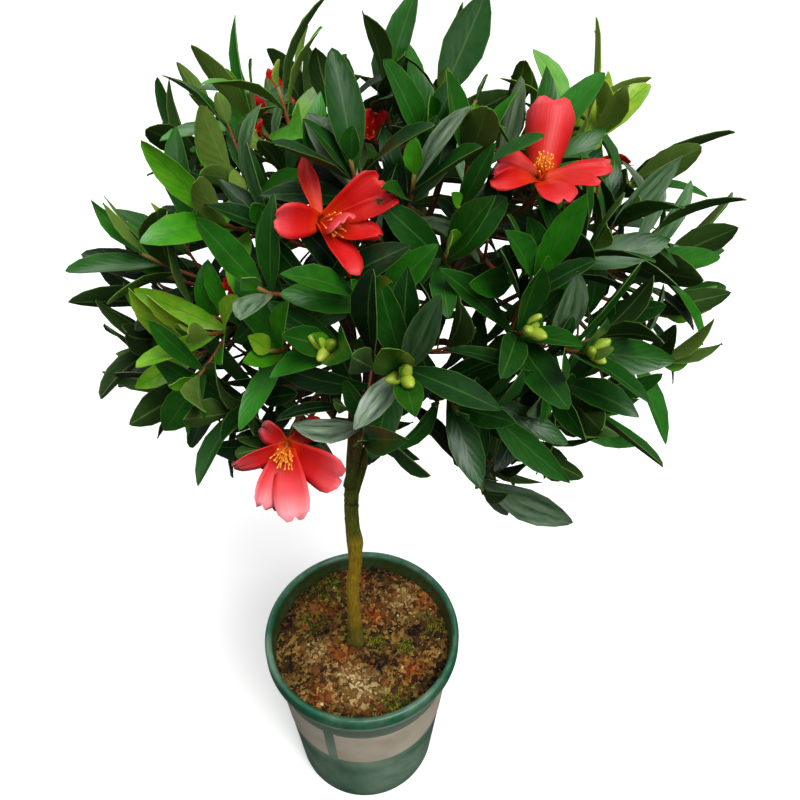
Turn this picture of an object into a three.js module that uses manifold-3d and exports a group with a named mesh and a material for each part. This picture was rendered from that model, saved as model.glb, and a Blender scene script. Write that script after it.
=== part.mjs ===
// A camellia shrub grown as a small standard in its plastic nursery pot.
// Millimetres, +Z up, the front towards -Y, the origin under the middle of the pot.
import * as THREE from "three";
import { mergeVertices } from "three/addons/utils/BufferGeometryUtils.js";
import Module from "manifold-3d";

const wasm = await Module();
wasm.setup();

// ---------------------------------------------------------------- driving dimensions

const GAP = 0.3; // the clearance between two pieces that touch on the real plant

// The pot: a thin tapered tub with a rolled lip and drain holes round its floor.
const POT = {
  height: 235,
  topRadius: 109,
  baseRadius: 87,
  wall: 2,
  floor: 3,
  lipRadius: 115,
  lipDepth: 19,
  sides: 28,
  drains: 5,
  drainRadius: 7,
  drainSides: 8,
  drainRing: 62,
};

// The potting mix fills the pot to a little below its lip, and is flat round the trunk's foot.
const SOIL = { level: 212, flatRadius: 24, rings: [46, 68, 88], bump: 3.5, fall: 2 };

// The trunk's line from its flat foot to the fork, and its radius along that line.
const TRUNK = {
  line: [[-8, 0, SOIL.level + GAP], [-8, -1, 320], [-4, 1, 360], [-3, 0, 390], [-5, 0, 425], [-4, 0, 486]],
  radii: [[0, 13.5], [0.05, 10.6], [0.2, 8.9], [0.45, 7.8], [0.58, 7.7], [0.66, 8.9], [0.74, 7.7], [1, 6.6]],
  sides: 10,
  steps: 14,
};

// The crown is a slightly flattened ball of leafy shoots, a little to the right of the trunk.
const CROWN = { centre: new THREE.Vector3(47, 0, 735), half: new THREE.Vector3(258, 240, 215) };

// Each mass of foliage: its bearing from the crown's centre in degrees (0 is the front, and positive is to
// the right), its elevation, how far its shoots fan out, how many there are, and the seed of their places.
const MASSES = [
  { name: "front", bearing: 0, elevation: 15, fan: 30, shoots: 5, seed: 1 },
  { name: "front_low", bearing: -20, elevation: -10, fan: 30, shoots: 5, seed: 2 },
  { name: "front_left", bearing: -42, elevation: 12, fan: 28, shoots: 5, seed: 3 },
  { name: "front_right", bearing: 34, elevation: 12, fan: 28, shoots: 5, seed: 4 },
  { name: "low_right", bearing: 34, elevation: -28, fan: 26, shoots: 4, seed: 5 },
  { name: "left", bearing: -80, elevation: -2, fan: 32, shoots: 5, seed: 6 },
  { name: "right", bearing: 74, elevation: 12, fan: 31, shoots: 5, seed: 7 },
  { name: "upper_front", bearing: -14, elevation: 43, fan: 28, shoots: 5, seed: 8 },
  { name: "upper_right", bearing: 30, elevation: 46, fan: 28, shoots: 5, seed: 9 },
  { name: "upper_left", bearing: -62, elevation: 46, fan: 31, shoots: 5, seed: 38 },
  { name: "upper_side_right", bearing: 82, elevation: 48, fan: 28, shoots: 5, seed: 21 },
  { name: "top", bearing: -20, elevation: 80, fan: 26, shoots: 5, seed: 12 },
  { name: "back_left", bearing: -124, elevation: 8, fan: 35, shoots: 5, seed: 13 },
  { name: "back", bearing: 178, elevation: 2, fan: 36, shoots: 5, seed: 14 },
  { name: "back_right", bearing: 122, elevation: 6, fan: 34, shoots: 5, seed: 15 },
  { name: "upper_back_left", bearing: -134, elevation: 52, fan: 32, shoots: 5, seed: 16 },
  { name: "upper_back_right", bearing: 146, elevation: 52, fan: 32, shoots: 5, seed: 17 },
];

// Shares of the way from the crown's centre to its outside.
const ANCHOR = 0.66; // the middle of a mass
const HEART = 0.36; // where its bough ends and its stem begins
const STEM_END = 0.58;
const OUTSIDE = 1.08; // nothing reaches past this
const UNDERSIDE = 578; // the height that no leaf hangs below, so that the trunk stands clear

// Each limb: what it leaves, how far along that, the mass it carries, and its radius where it starts.
const LIMBS = [
  { name: "bough_left", from: "trunk", at: 0.84, to: "left", radius: 4.6 },
  { name: "bough_right", from: "trunk", at: 0.9, to: "right", radius: 5.4 },
  { name: "bough_front", from: "trunk", at: 0.95, to: "front", radius: 4.4 },
  { name: "bough_back", from: "trunk", at: 0.92, to: "back", radius: 4.8 },
  { name: "bough_middle", from: "trunk", at: 0.985, to: "top", radius: 5.6 },
  { name: "branch_front_left", from: "bough_left", at: 0.36, to: "front_left", radius: 3.4 },
  { name: "branch_back_left", from: "bough_left", at: 0.5, to: "back_left", radius: 3.4 },
  { name: "branch_front_low", from: "bough_front", at: 0.3, to: "front_low", radius: 3.2 },
  { name: "branch_front_right", from: "bough_right", at: 0.42, to: "front_right", radius: 3.6 },
  { name: "branch_low_right", from: "bough_right", at: 0.28, to: "low_right", radius: 3.2 },
  { name: "branch_back_right", from: "bough_back", at: 0.42, to: "back_right", radius: 3.4 },
  { name: "branch_upper_front", from: "bough_middle", at: 0.3, to: "upper_front", radius: 3.6 },
  { name: "branch_upper_left", from: "bough_middle", at: 0.4, to: "upper_left", radius: 3.6 },
  { name: "branch_upper_right", from: "bough_middle", at: 0.5, to: "upper_right", radius: 3.6 },
  { name: "branch_upper_back_left", from: "bough_middle", at: 0.62, to: "upper_back_left", radius: 3.2 },
  { name: "branch_upper_back_right", from: "bough_back", at: 0.55, to: "upper_back_right", radius: 3.2 },
  { name: "branch_upper_side_right", from: "bough_right", at: 0.6, to: "upper_side_right", radius: 3.2 },
];
const LIMB = { tipRadius: 2.6, sides: 5, steps: 4 };

// How a limb bends: its first stretch leans between its parent's way and its own, and it ends turned up.
const BEND = { parent: 0.75, own: 0.8, first: 0.38, last: 0.3, upturn: 0.35 };

// A mass's stem, and its shoots: the share of the crown that their tips reach, how they turn up to the
// light, and the stretch of the stem that they leave, the middle ones nearest to its end.
const STEM = { radius: 2.4, sides: 5 };
const SHOOT = {
  radius: 2.2,
  tipRadius: 1.7,
  sides: 3,
  steps: 2,
  reach: [0.72, 0.86],
  upturn: 0.42,
  roots: [0.95, 0.2],
};

// A shoot bears a whorl of leaves at its tip, the youngest small and upright, and an older one lower down.
const WHORL = { leaves: 7, first: 1, step: 5, youngLean: 28, oldLean: 84, youngSize: 0.74, grownAt: 0.55 };
const OLD_LEAF = { count: 1, first: 50, step: 8, lean: 84 };
const LEAF = { length: 74, width: 0.44, thickness: 0.02, widest: 0.56, arch: 0.08, root: 0.6 };
const VARIETY = { lean: 9, size: [0.88, 1.1], petalOpening: 12 };

// A leaf or shoot that finds its place taken tries again close by: a little round, more upright and smaller.
const RETRY = { attempts: 5, shootTurn: 9, shootFan: 0.08, leafTurn: 13, leafLean: 5, leafSize: 0.04 };

// Each open bloom: the mass it belongs to, its place on the crown, the way it faces, and its size.
const BLOOMS = [
  { mass: "front_low", bearing: -21, elevation: -7, reach: 0.82, facing: [-18, 6], size: 1 },
  { mass: "upper_front", bearing: -16, elevation: 41, reach: 0.8, facing: [-6, 30], size: 1 },
  { mass: "upper_right", bearing: 32, elevation: 48, reach: 0.82, facing: [10, 62], size: 1 },
  { mass: "back_right", bearing: 126, elevation: 12, reach: 0.82, facing: [140, 30], size: 1 },
  { mass: "upper_back_left", bearing: -136, elevation: 50, reach: 0.82, facing: [-150, 50], size: 0.9 },
];
const PETAL = { count: 7, length: 46, width: 24, thickness: 1.1, open: 62, root: 2.5 };
const PETAL_FORM = {
  width: PETAL.width / PETAL.length,
  thickness: PETAL.thickness / PETAL.length,
  widest: 0.66,
  arch: -0.06,
  root: 0,
};
const STAMENS = { radius: 7, foot: 4, height: 19, sides: 7 };

const GOLDEN_TURN = 137.508;
const UP = new THREE.Vector3(0, 0, 1);
const degrees = THREE.MathUtils.degToRad;
const mix = THREE.MathUtils.lerp;

// ---------------------------------------------------------------- small helpers

// A number from 0 to 1 that is fixed by whole-number keys, so that each shoot and leaf has its own.
function chance(...keys) {
  let hash = 2166136261;
  for (const key of keys) {
    hash = Math.imul(hash ^ (key + 1), 16777619);
    hash = Math.imul(hash ^ (hash >>> 15), 2246822519);
  }
  hash = Math.imul(hash ^ (hash >>> 13), 3266489917);
  return ((hash ^ (hash >>> 16)) >>> 0) / 4294967296;
}

// The unit vector at a bearing and an elevation.
function towards(bearing, elevation) {
  const b = degrees(bearing);
  const e = degrees(elevation);
  return new THREE.Vector3(Math.cos(e) * Math.sin(b), -Math.cos(e) * Math.cos(b), Math.sin(e));
}

// The point at a share of the way from the crown's centre to its outside.
function onCrown(direction, share) {
  return direction.clone().multiply(CROWN.half).multiplyScalar(share).add(CROWN.centre);
}

// Two unit vectors across a direction.
function across(direction) {
  const pole = Math.abs(direction.z) > 0.95 ? new THREE.Vector3(0, -1, 0) : UP;
  const east = new THREE.Vector3().crossVectors(pole, direction).normalize();
  return [east, new THREE.Vector3().crossVectors(direction, east)];
}

// A direction turned by an angle away from an axis, at a turn round it.
function fanned(axis, angle, turn) {
  const [east, north] = across(axis);
  const a = degrees(angle);
  const t = degrees(turn);
  return axis.clone().multiplyScalar(Math.cos(a))
    .addScaledVector(east, Math.sin(a) * Math.cos(t))
    .addScaledVector(north, Math.sin(a) * Math.sin(t));
}

// The value at a place in a list of [place, value] pairs, in straight steps.
function along(pairs, place) {
  const next = pairs.findIndex(([p]) => p >= place);
  if (next <= 0) return pairs[next < 0 ? pairs.length - 1 : 0][1];
  const [p0, v0] = pairs[next - 1];
  const [p1, v1] = pairs[next];
  return mix(v0, v1, (place - p0) / (p1 - p0));
}

function solidOf(geometry) {
  geometry.deleteAttribute("normal");
  geometry.deleteAttribute("uv");
  const merged = mergeVertices(geometry, 1e-4);
  const vertProperties = new Float32Array(merged.attributes.position.array);
  const triVerts = new Uint32Array(merged.index.array);
  return new wasm.Manifold(new wasm.Mesh({ numProp: 3, vertProperties, triVerts }));
}

function geometryOf(solid) {
  const mesh = solid.getMesh();
  const geometry = new THREE.BufferGeometry();
  geometry.setAttribute("position", new THREE.BufferAttribute(new Float32Array(mesh.vertProperties), 3));
  geometry.setIndex(new THREE.BufferAttribute(new Uint32Array(mesh.triVerts), 1));
  return geometry;
}

// The largest body of a solid, without the scraps and slivers that a cut leaves.
const SLIVER = 0.02;
function largest(solid) {
  return solid.simplify(SLIVER).decompose().reduce((a, b) => (a.volume() > b.volume() ? a : b));
}

// A turned piece: the profile's [radius, height] points go round the Z axis.
function turned(profile, sides) {
  const geometry = new THREE.LatheGeometry(profile.map(([r, z]) => new THREE.Vector2(r, z)), sides);
  return geometry.rotateX(Math.PI / 2);
}

// A limb: a closed cylinder bent along a curve, with its radius given along the way. It can be grown, so
// that what is cut by it keeps that much clear of its sides and its ends.
function limb(curve, radiusAt, sides, steps, grow = 0) {
  const geometry = new THREE.CylinderGeometry(1, 1, 1, sides, steps);
  const frames = curve.computeFrenetFrames(steps, false);
  const position = geometry.getAttribute("position");
  for (let i = 0; i < position.count; i += 1) {
    const step = Math.round((position.getY(i) + 0.5) * steps);
    const radius = radiusAt(step / steps) + grow / Math.cos(Math.PI / sides);
    const beyond = (step === steps ? grow : 0) - (step === 0 ? grow : 0);
    const point = curve.getPointAt(step / steps)
      .addScaledVector(frames.tangents[step], beyond)
      .addScaledVector(frames.binormals[step], position.getX(i) * radius)
      .addScaledVector(frames.normals[step], position.getZ(i) * radius);
    position.setXYZ(i, point.x, point.y, point.z);
  }
  return solidOf(geometry);
}

// The middle of a limb at a share of its length, on the straight steps that the limb is made of.
function middleOf(curve, share, steps) {
  const step = Math.min(steps - 1, Math.floor(share * steps));
  return curve.getPointAt(step / steps).lerp(curve.getPointAt((step + 1) / steps), share * steps - step);
}

// ---------------------------------------------------------------- pot and potting mix

const wallRadius = (z) => mix(POT.baseRadius, POT.topRadius, z / POT.height);

function makePot() {
  const lipFoot = POT.height - POT.lipDepth;
  const inner = (z) => wallRadius(z) - POT.wall;
  const shell = solidOf(turned([
    [0, 0],
    [POT.baseRadius - 2, 0],
    [wallRadius(2), 2],
    [wallRadius(lipFoot - 2), lipFoot - 2],
    [POT.lipRadius - 1.5, lipFoot],
    [POT.lipRadius, lipFoot + 2],
    [POT.lipRadius, POT.height - 2.5],
    [POT.lipRadius - 3, POT.height],
    [inner(POT.height) + 0.5, POT.height - 1.5],
    [inner(POT.height - 8), POT.height - 8],
    [inner(POT.floor), POT.floor],
    [0, POT.floor],
  ], POT.sides));
  const drains = Array.from({ length: POT.drains }, (_, i) => {
    const turn = (2 * Math.PI * i) / POT.drains;
    const drill = new THREE.CylinderGeometry(POT.drainRadius, POT.drainRadius, 3 * POT.floor, POT.drainSides);
    drill.rotateX(Math.PI / 2).translate(POT.drainRing * Math.cos(turn), POT.drainRing * Math.sin(turn), 0);
    return solidOf(drill);
  });
  return shell.subtract(wasm.Manifold.union(drains));
}

function makeSoil() {
  const side = (z) => wallRadius(z) - POT.wall - GAP;
  const edge = SOIL.level - SOIL.fall;
  const bottom = POT.floor + GAP;
  const geometry = turned([
    [0, bottom],
    [side(bottom), bottom],
    [side(edge), edge],
    ...SOIL.rings.toReversed().map((r) => [r, SOIL.level]),
    [SOIL.flatRadius, SOIL.level],
    [0, SOIL.level],
  ], POT.sides);
  const position = geometry.getAttribute("position");
  for (let i = 0; i < position.count; i += 1) {
    const [x, y] = [position.getX(i), position.getY(i)];
    const isBumpy = position.getZ(i) > edge && Math.hypot(x, y) > SOIL.flatRadius + 1;
    if (isBumpy) position.setZ(i, SOIL.level + SOIL.bump * (chance(Math.round(x), Math.round(y)) - 0.5));
  }
  return solidOf(geometry);
}

// ---------------------------------------------------------------- trunk and boughs

const massCalled = (name) => MASSES.find((mass) => mass.name === name);
const directionOf = (mass) => towards(mass.bearing, mass.elevation);
const trunkLine = new THREE.CatmullRomCurve3(TRUNK.line.map(([x, y, z]) => new THREE.Vector3(x, y, z)));

// A limb leaves its parent in a rising curve and comes into its mass along the mass's own direction.
function limbLine(parentLine, { at, to }) {
  const direction = directionOf(massCalled(to));
  const start = parentLine.getPointAt(at);
  const end = onCrown(direction, HEART);
  const span = start.distanceTo(end);
  const leaving = parentLine.getTangentAt(at).multiplyScalar(BEND.parent)
    .addScaledVector(end.clone().sub(start).normalize(), BEND.own).normalize();
  const arriving = direction.clone().addScaledVector(UP, BEND.upturn).normalize();
  return new THREE.CubicBezierCurve3(
    start,
    start.clone().addScaledVector(leaving, BEND.first * span),
    end.clone().addScaledVector(arriving, -BEND.last * span),
    end,
  );
}

// The trunk and limbs: each one's line, its solid, and that solid grown by the gap, which others keep out of.
function makeLimbs() {
  const limbs = new Map();
  const add = (name, line, radiusAt, sides, steps) => {
    const earlier = wasm.Manifold.union([...limbs.values()].map(({ grown }) => grown));
    const solid = largest(limb(line, radiusAt, sides, steps).subtract(earlier));
    limbs.set(name, { line, solid, grown: limb(line, radiusAt, sides, steps, GAP) });
  };
  add("trunk", trunkLine, (share) => along(TRUNK.radii, share), TRUNK.sides, TRUNK.steps);
  for (const spec of LIMBS) {
    const line = limbLine(limbs.get(spec.from).line, spec);
    add(spec.name, line, (share) => mix(spec.radius, LIMB.tipRadius, share), LIMB.sides, LIMB.steps);
  }
  return limbs;
}

// ---------------------------------------------------------------- foliage

// The mass's stem goes on from its bough's tip.
function stemOf(mass) {
  const direction = directionOf(mass);
  return new THREE.LineCurve3(onCrown(direction, HEART), onCrown(direction, STEM_END));
}

// A mass's shoots fan out from its stem like the seeds of a sunflower, and turn up towards the light.
function shootOf(mass, index, attempt) {
  const outness = Math.sqrt(index / mass.shoots);
  const turn = GOLDEN_TURN * index + 360 * chance(mass.seed, 1) + RETRY.shootTurn * attempt;
  const fan = mass.fan * outness * (1 - RETRY.shootFan * attempt);
  const direction = fanned(directionOf(mass), fan, turn);
  return {
    seed: mass.seed * 100 + index,
    root: stemOf(mass).getPoint(mix(...SHOOT.roots, outness)),
    tip: onCrown(direction, mix(...SHOOT.reach, chance(mass.seed, 2, index))),
    facing: direction.addScaledVector(UP, SHOOT.upturn * (1 + direction.z)).normalize(),
  };
}

// The line of a shoot or bloom stalk, which arrives at its tip the way that the tip faces.
function shootLine({ root, tip, facing }) {
  const bend = tip.clone().addScaledVector(facing, -0.5 * root.distanceTo(tip));
  return new THREE.QuadraticBezierCurve3(root, bend, tip);
}

// One leaf of a shoot, or none past its root. The whorl's youngest leaf comes first, and older ones last.
function leafOf(shoot, index, attempt) {
  const line = shootLine(shoot);
  const older = index - WHORL.leaves;
  const age = Math.min(1, index / (WHORL.leaves - 1));
  const down = older < 0 ? WHORL.first + WHORL.step * index : OLD_LEAF.first + OLD_LEAF.step * older;
  const share = 1 - down / line.getLength();
  if (share < 0) return null;
  const middling = older < 0 ? mix(WHORL.youngLean, WHORL.oldLean, age) : OLD_LEAF.lean;
  const lean = middling + VARIETY.lean * mix(-1, 1, chance(shoot.seed, 4, index)) - RETRY.leafLean * attempt;
  const swing = RETRY.leafTurn * (attempt % 2 ? attempt : -attempt);
  const turn = GOLDEN_TURN * index + 360 * chance(shoot.seed, 3) + swing;
  const axis = line.getTangentAt(share);
  const direction = fanned(axis, Math.max(lean, WHORL.youngLean), turn);
  const size = mix(WHORL.youngSize, 1, Math.min(1, age / WHORL.grownAt)) * (1 - RETRY.leafSize * attempt);
  return {
    base: middleOf(line, share, SHOOT.steps),
    direction,
    normal: axis.addScaledVector(direction, -axis.dot(direction)).normalize(),
    length: LEAF.length * size * mix(...VARIETY.size, chance(shoot.seed, 5, index)),
  };
}

// A blade: a ball of six faces drawn out to a base, a tip, two edges and a keel, with its middle arched up.
function blade({ base, direction, normal, length }, form) {
  const side = new THREE.Vector3().crossVectors(normal, direction);
  const width = form.width * length;
  const crest = form.arch * length;
  const lift = (forward, up, out) => base.clone()
    .addScaledVector(direction, forward)
    .addScaledVector(normal, up)
    .addScaledVector(side, out);
  const geometry = new THREE.SphereGeometry(1, 3, 2);
  const position = geometry.getAttribute("position");
  for (let i = 0; i < position.count; i += 1) {
    const [keel, pole, edge] = [position.getX(i), position.getY(i), position.getZ(i)].map(Math.round);
    let point = lift(form.widest * length, crest, (edge * width) / 2);
    if (pole) point = pole > 0 ? lift(length, 0, 0) : lift(-form.root, 0, 0);
    else if (keel < 0) point = lift(form.widest * length, crest - form.thickness * length, 0);
    position.setXYZ(i, point.x, point.y, point.z);
  }
  return geometry;
}

function cornersOf(geometry) {
  const position = geometry.getAttribute("position");
  const cornerAt = (_, i) => new THREE.Vector3().fromBufferAttribute(position, i);
  return Array.from({ length: position.count }, cornerAt);
}

// A mass's own space: nearer to its middle than to any other mass's, by a clearance, and inside the crown.
const anchors = new Map(MASSES.map((mass) => [mass.name, onCrown(directionOf(mass), ANCHOR)]));

function isInSpace(mass, point) {
  const own = anchors.get(mass.name);
  if (point.clone().sub(CROWN.centre).divide(CROWN.half).length() > OUTSIDE) return false;
  if (point.z < UNDERSIDE) return false;
  return [...anchors.values()].every((other) => {
    if (other === own) return true;
    const way = other.clone().sub(own);
    return point.clone().sub(own).dot(way.clone().normalize()) < way.length() / 2 - GAP;
  });
}

// Leaves meet at their roots, so two blades are compared from a fifth of their length out.
function bladeTriangles({ base, direction, normal, length }, form) {
  const side = new THREE.Vector3().crossVectors(direction, normal);
  const at = (share, up, out) => base.clone()
    .addScaledVector(direction, share * length)
    .addScaledVector(normal, up * form.arch * length)
    .addScaledVector(side, out * form.width * length);
  const [root, tip] = [at(0.2, 0.2 / form.widest, 0), at(1, 0, 0)];
  const [left, right] = [at(form.widest, 1, 0.5), at(form.widest, 1, -0.5)];
  return [[root, left, right], [left, right, tip]];
}

function segmentCuts(from, to, triangle) {
  const hit = new THREE.Ray(from, to.clone().sub(from).normalize())
    .intersectTriangle(...triangle, false, new THREE.Vector3());
  return hit !== null && from.distanceTo(hit) < from.distanceTo(to);
}

function edgesCut(corners, triangle) {
  return corners.some((from, i) => segmentCuts(from, corners[(i + 1) % 3], triangle));
}

function bladesCross(a, b) {
  return a.some((one) => b.some((other) => edgesCut(one, other) || edgesCut(other, one)));
}

function twigCrosses(points, triangles) {
  return triangles.some((triangle) => (
    points.some((point, i) => i > 0 && segmentCuts(points[i - 1], point, triangle))));
}

// A bloom: petals round a tuft of stamens, on a stalk from the mass's stem.
function bloomPieces(mass, bloom) {
  const facing = towards(...bloom.facing);
  const heart = onCrown(towards(bloom.bearing, bloom.elevation), bloom.reach);
  const line = shootLine({ root: stemOf(mass).getPoint(0.6), tip: heart, facing });
  const petals = [];
  for (let i = 0; i < PETAL.count; i += 1) {
    const open = PETAL.open + VARIETY.petalOpening * mix(-1, 1, chance(mass.seed, 6, i));
    const direction = fanned(facing, open, (360 * i) / PETAL.count);
    const normal = facing.clone().addScaledVector(direction, -facing.dot(direction)).normalize();
    const base = heart.clone().addScaledVector(direction.clone().cross(facing).cross(facing), -PETAL.root);
    petals.push({ base, direction, normal, length: PETAL.length * bloom.size });
  }
  const tuft = new THREE.LineCurve3(
    heart.clone().addScaledVector(facing, -STAMENS.foot),
    heart.clone().addScaledVector(facing, STAMENS.height * bloom.size),
  );
  return { stalk: line, petals, tuft: limb(tuft, () => STAMENS.radius * bloom.size, STAMENS.sides, 1) };
}

// A mass: its stem, its blooms, and each shoot and leaf that finds room in the mass's own space.
function makeMass(mass, keepOut) {
  const isClear = (solid) => solid.intersect(keepOut).isEmpty();
  const isInside = (corners) => corners.every((corner) => isInSpace(mass, corner));
  const attempts = Array.from({ length: RETRY.attempts }, (_, attempt) => attempt);
  const pieces = [];
  const twigs = [];
  const blades = [];
  const addTwig = (line, radius, tipRadius = radius, sides = SHOOT.sides, steps = SHOOT.steps) => {
    pieces.push(limb(line, (share) => mix(radius, tipRadius, share), sides, steps));
    twigs.push(line.getSpacedPoints(steps));
  };
  const addBlade = (leaf, form) => {
    if (!leaf) return false;
    const geometry = blade(leaf, form);
    if (!isInside(cornersOf(geometry))) return false;
    const triangles = bladeTriangles(leaf, form);
    if (twigs.some((points) => twigCrosses(points, triangles))) return false;
    if (blades.some((other) => bladesCross(triangles, other))) return false;
    const solid = solidOf(geometry);
    if (!isClear(solid)) return false;
    blades.push(triangles);
    pieces.push(solid);
    return true;
  };

  addTwig(stemOf(mass), STEM.radius, STEM.radius, STEM.sides, 1);
  const blooms = BLOOMS.filter((bloom) => bloom.mass === mass.name);
  for (const bloom of blooms) {
    const { stalk, petals, tuft } = bloomPieces(mass, bloom);
    addTwig(stalk, SHOOT.radius);
    pieces.push(tuft);
    petals.forEach((petal) => addBlade(petal, PETAL_FORM));
  }
  const shoots = [];
  for (let k = blooms.length ? 1 : 0; k < mass.shoots; k += 1) {
    const shoot = attempts.map((attempt) => shootOf(mass, k, attempt)).find((one) => (
      isInside(shootLine(one).getSpacedPoints(SHOOT.steps))
      && isClear(limb(shootLine(one), () => SHOOT.radius, SHOOT.sides, SHOOT.steps))));
    if (!shoot) continue;
    addTwig(shootLine(shoot), SHOOT.radius, SHOOT.tipRadius);
    shoots.push(shoot);
  }
  for (let j = 0; j < WHORL.leaves + OLD_LEAF.count; j += 1) {
    for (const shoot of shoots) attempts.some((attempt) => addBlade(leafOf(shoot, j, attempt), LEAF));
  }
  return largest(wasm.Manifold.union(pieces).subtract(keepOut));
}

// ---------------------------------------------------------------- materials and assembly

const FINISHES = {
  pot: new THREE.MeshStandardMaterial({ color: "#14503a", roughness: 0.42, metalness: 0 }),
  soil: new THREE.MeshStandardMaterial({ color: "#5b4327", roughness: 0.95, metalness: 0 }),
  bark: new THREE.MeshStandardMaterial({ color: "#6e6538", roughness: 0.8, metalness: 0 }),
  leaves: new THREE.MeshStandardMaterial({ color: "#1d4a22", roughness: 0.35, metalness: 0 }),
};

const shrub = new THREE.Group();

function addPiece(name, solid, material) {
  const mesh = new THREE.Mesh(geometryOf(solid), material);
  mesh.name = name;
  shrub.add(mesh);
}

addPiece("pot", makePot(), FINISHES.pot);
addPiece("soil", makeSoil(), FINISHES.soil);
const limbs = makeLimbs();
for (const [name, { solid }] of limbs) addPiece(name, solid, FINISHES.bark);
const keepOut = wasm.Manifold.union([...limbs.values()].map(({ grown }) => grown));
for (const mass of MASSES) addPiece(`foliage_${mass.name}`, makeMass(mass, keepOut), FINISHES.leaves);

export default shrub;
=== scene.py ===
# %% [markdown]
# # A camellia shrub in its nursery pot
#
# The object is a small camellia grown as a standard: a clear slender trunk under a round crown of glossy
# leaves and red blooms, in a thin green plastic pot that is filled with bark mix. Its trunk, boughs, pot
# and masses of foliage are already fixed as plain solids. This lesson gives each of them the surface and
# the fine growth of the real plant, and moves none of them.
#
# We load those solids first.

# %% Load the fixed solids
import math

import bmesh
import bpy
from mathutils import Matrix, Quaternion, Vector, noise
from mathutils.bvhtree import BVHTree


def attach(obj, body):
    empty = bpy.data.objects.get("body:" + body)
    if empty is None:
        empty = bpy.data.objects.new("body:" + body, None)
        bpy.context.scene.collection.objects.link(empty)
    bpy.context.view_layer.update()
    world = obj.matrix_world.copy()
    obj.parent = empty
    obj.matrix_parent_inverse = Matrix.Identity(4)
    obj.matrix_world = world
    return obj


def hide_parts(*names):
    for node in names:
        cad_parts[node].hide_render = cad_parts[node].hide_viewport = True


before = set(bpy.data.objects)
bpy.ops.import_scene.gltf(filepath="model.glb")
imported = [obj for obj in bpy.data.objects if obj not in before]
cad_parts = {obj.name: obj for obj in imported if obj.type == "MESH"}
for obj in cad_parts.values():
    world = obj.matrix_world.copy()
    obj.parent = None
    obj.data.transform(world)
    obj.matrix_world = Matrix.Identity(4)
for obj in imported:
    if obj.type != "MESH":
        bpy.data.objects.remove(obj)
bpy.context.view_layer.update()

nodes = sorted(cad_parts)
foliage_nodes = [name for name in nodes if name.startswith("foliage_")]
limb_nodes = [name for name in nodes if name.startswith(("bough_", "branch_"))]
print(len(nodes), "solids, of them", len(limb_nodes), "limbs and", len(foliage_nodes), "masses of foliage")

# %% [markdown]
# ## Camera, floor and light
#
# A plant this size is looked at from standing height, so the camera looks down on it at about 37 degrees
# from a little over half a metre away. That close, the crown looks much larger than the pot. A small shift
# of the lens frames it as a view camera would, without tilting further.
#
# The light is that of a pale studio: a very broad sun and a sky that is brighter overhead, a soft lamp in
# front to the right that gives the leaves their shape, a weak one at the left, and one behind that lays a
# grey sheen on the glossy leaves that stand upright. The white floor glows faintly, so that the shadow on
# it stays pale, and throws no light back on the plant, so that the undersides of the leaves stay dark.

# %% The camera
def new_object(name, data):
    """An object that shows the data, in the scene."""
    made = bpy.data.objects.new(name, data)
    bpy.context.scene.collection.objects.link(made)
    return made


CAMERA_PLACE = (0.045, -0.554, 1.076)
CAMERA_DOWN = 37.3  # degrees below the horizon

camera = new_object("camera", bpy.data.cameras.new("camera"))
camera.location = CAMERA_PLACE
camera.rotation_euler = (math.radians(90 - CAMERA_DOWN), 0, 0)
camera.data.sensor_width = 36
camera.data.lens = 36
camera.data.shift_y = -0.065
camera.data.clip_start = 0.01
bpy.context.scene.camera = camera

# %% Helpers for colours and nodes
def linear(hex_colour):
    """The linear RGBA of an sRGB colour such as "#1d4a22"."""
    def channel(start):
        value = int(hex_colour[start:start + 2], 16) / 255
        return value / 12.92 if value <= 0.04045 else ((value + 0.055) / 1.055) ** 2.4
    return (channel(1), channel(3), channel(5), 1.0)


def in_use(sockets, name=None):
    """The first socket in use, or the one of a name: a node keeps unused ones under the same names."""
    return next(socket for socket in sockets if socket.enabled and name in (None, socket.name))


def add_node(tree, kind, inputs=None, stops=(), **settings):
    """Adds a node: its own settings, its inputs by name or number, and the stops of a colour ramp.

    An input is a value, a socket to link, or a node, which stands for its first output.
    """
    node = tree.nodes.new("ShaderNode" + kind)
    for name, value in settings.items():
        setattr(node, name, value)
    for name, value in (inputs or {}).items():
        socket = node.inputs[name] if isinstance(name, int) else in_use(node.inputs, name)
        if isinstance(value, bpy.types.Node):
            value = in_use(value.outputs)
        if isinstance(value, bpy.types.NodeSocket):
            tree.links.new(value, socket)
        else:
            socket.default_value = value
    for index, (place, colour) in enumerate(stops):
        elements = node.color_ramp.elements
        stop = elements[index] if index < len(elements) else elements.new(place)
        stop.position = place
        stop.color = linear(colour)
    return node


def new_material(name):
    """An empty material, and its node tree."""
    material = bpy.data.materials.new(name)
    material.use_nodes = True
    material.node_tree.nodes.clear()
    return material, material.node_tree


def shade(tree, **inputs):
    """The surface shader and the output, given by socket names with _ for a space."""
    named = {name.replace("_", " "): value for name, value in inputs.items()}
    surface = add_node(tree, "BsdfPrincipled", named)
    add_node(tree, "OutputMaterial", {"Surface": surface})

# %% The floor, the sky and the lamps
FLOOR_HALF = 9.0  # metres
SKY = "#f2f4f6"
SKY_STRENGTH = 0.5  # overhead
SKY_BELOW = 0.08


def as_mesh(name, bm):
    """Ends a bmesh as a mesh."""
    mesh = bpy.data.meshes.new(name)
    bm.to_mesh(mesh)
    bm.free()
    return mesh


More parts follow.
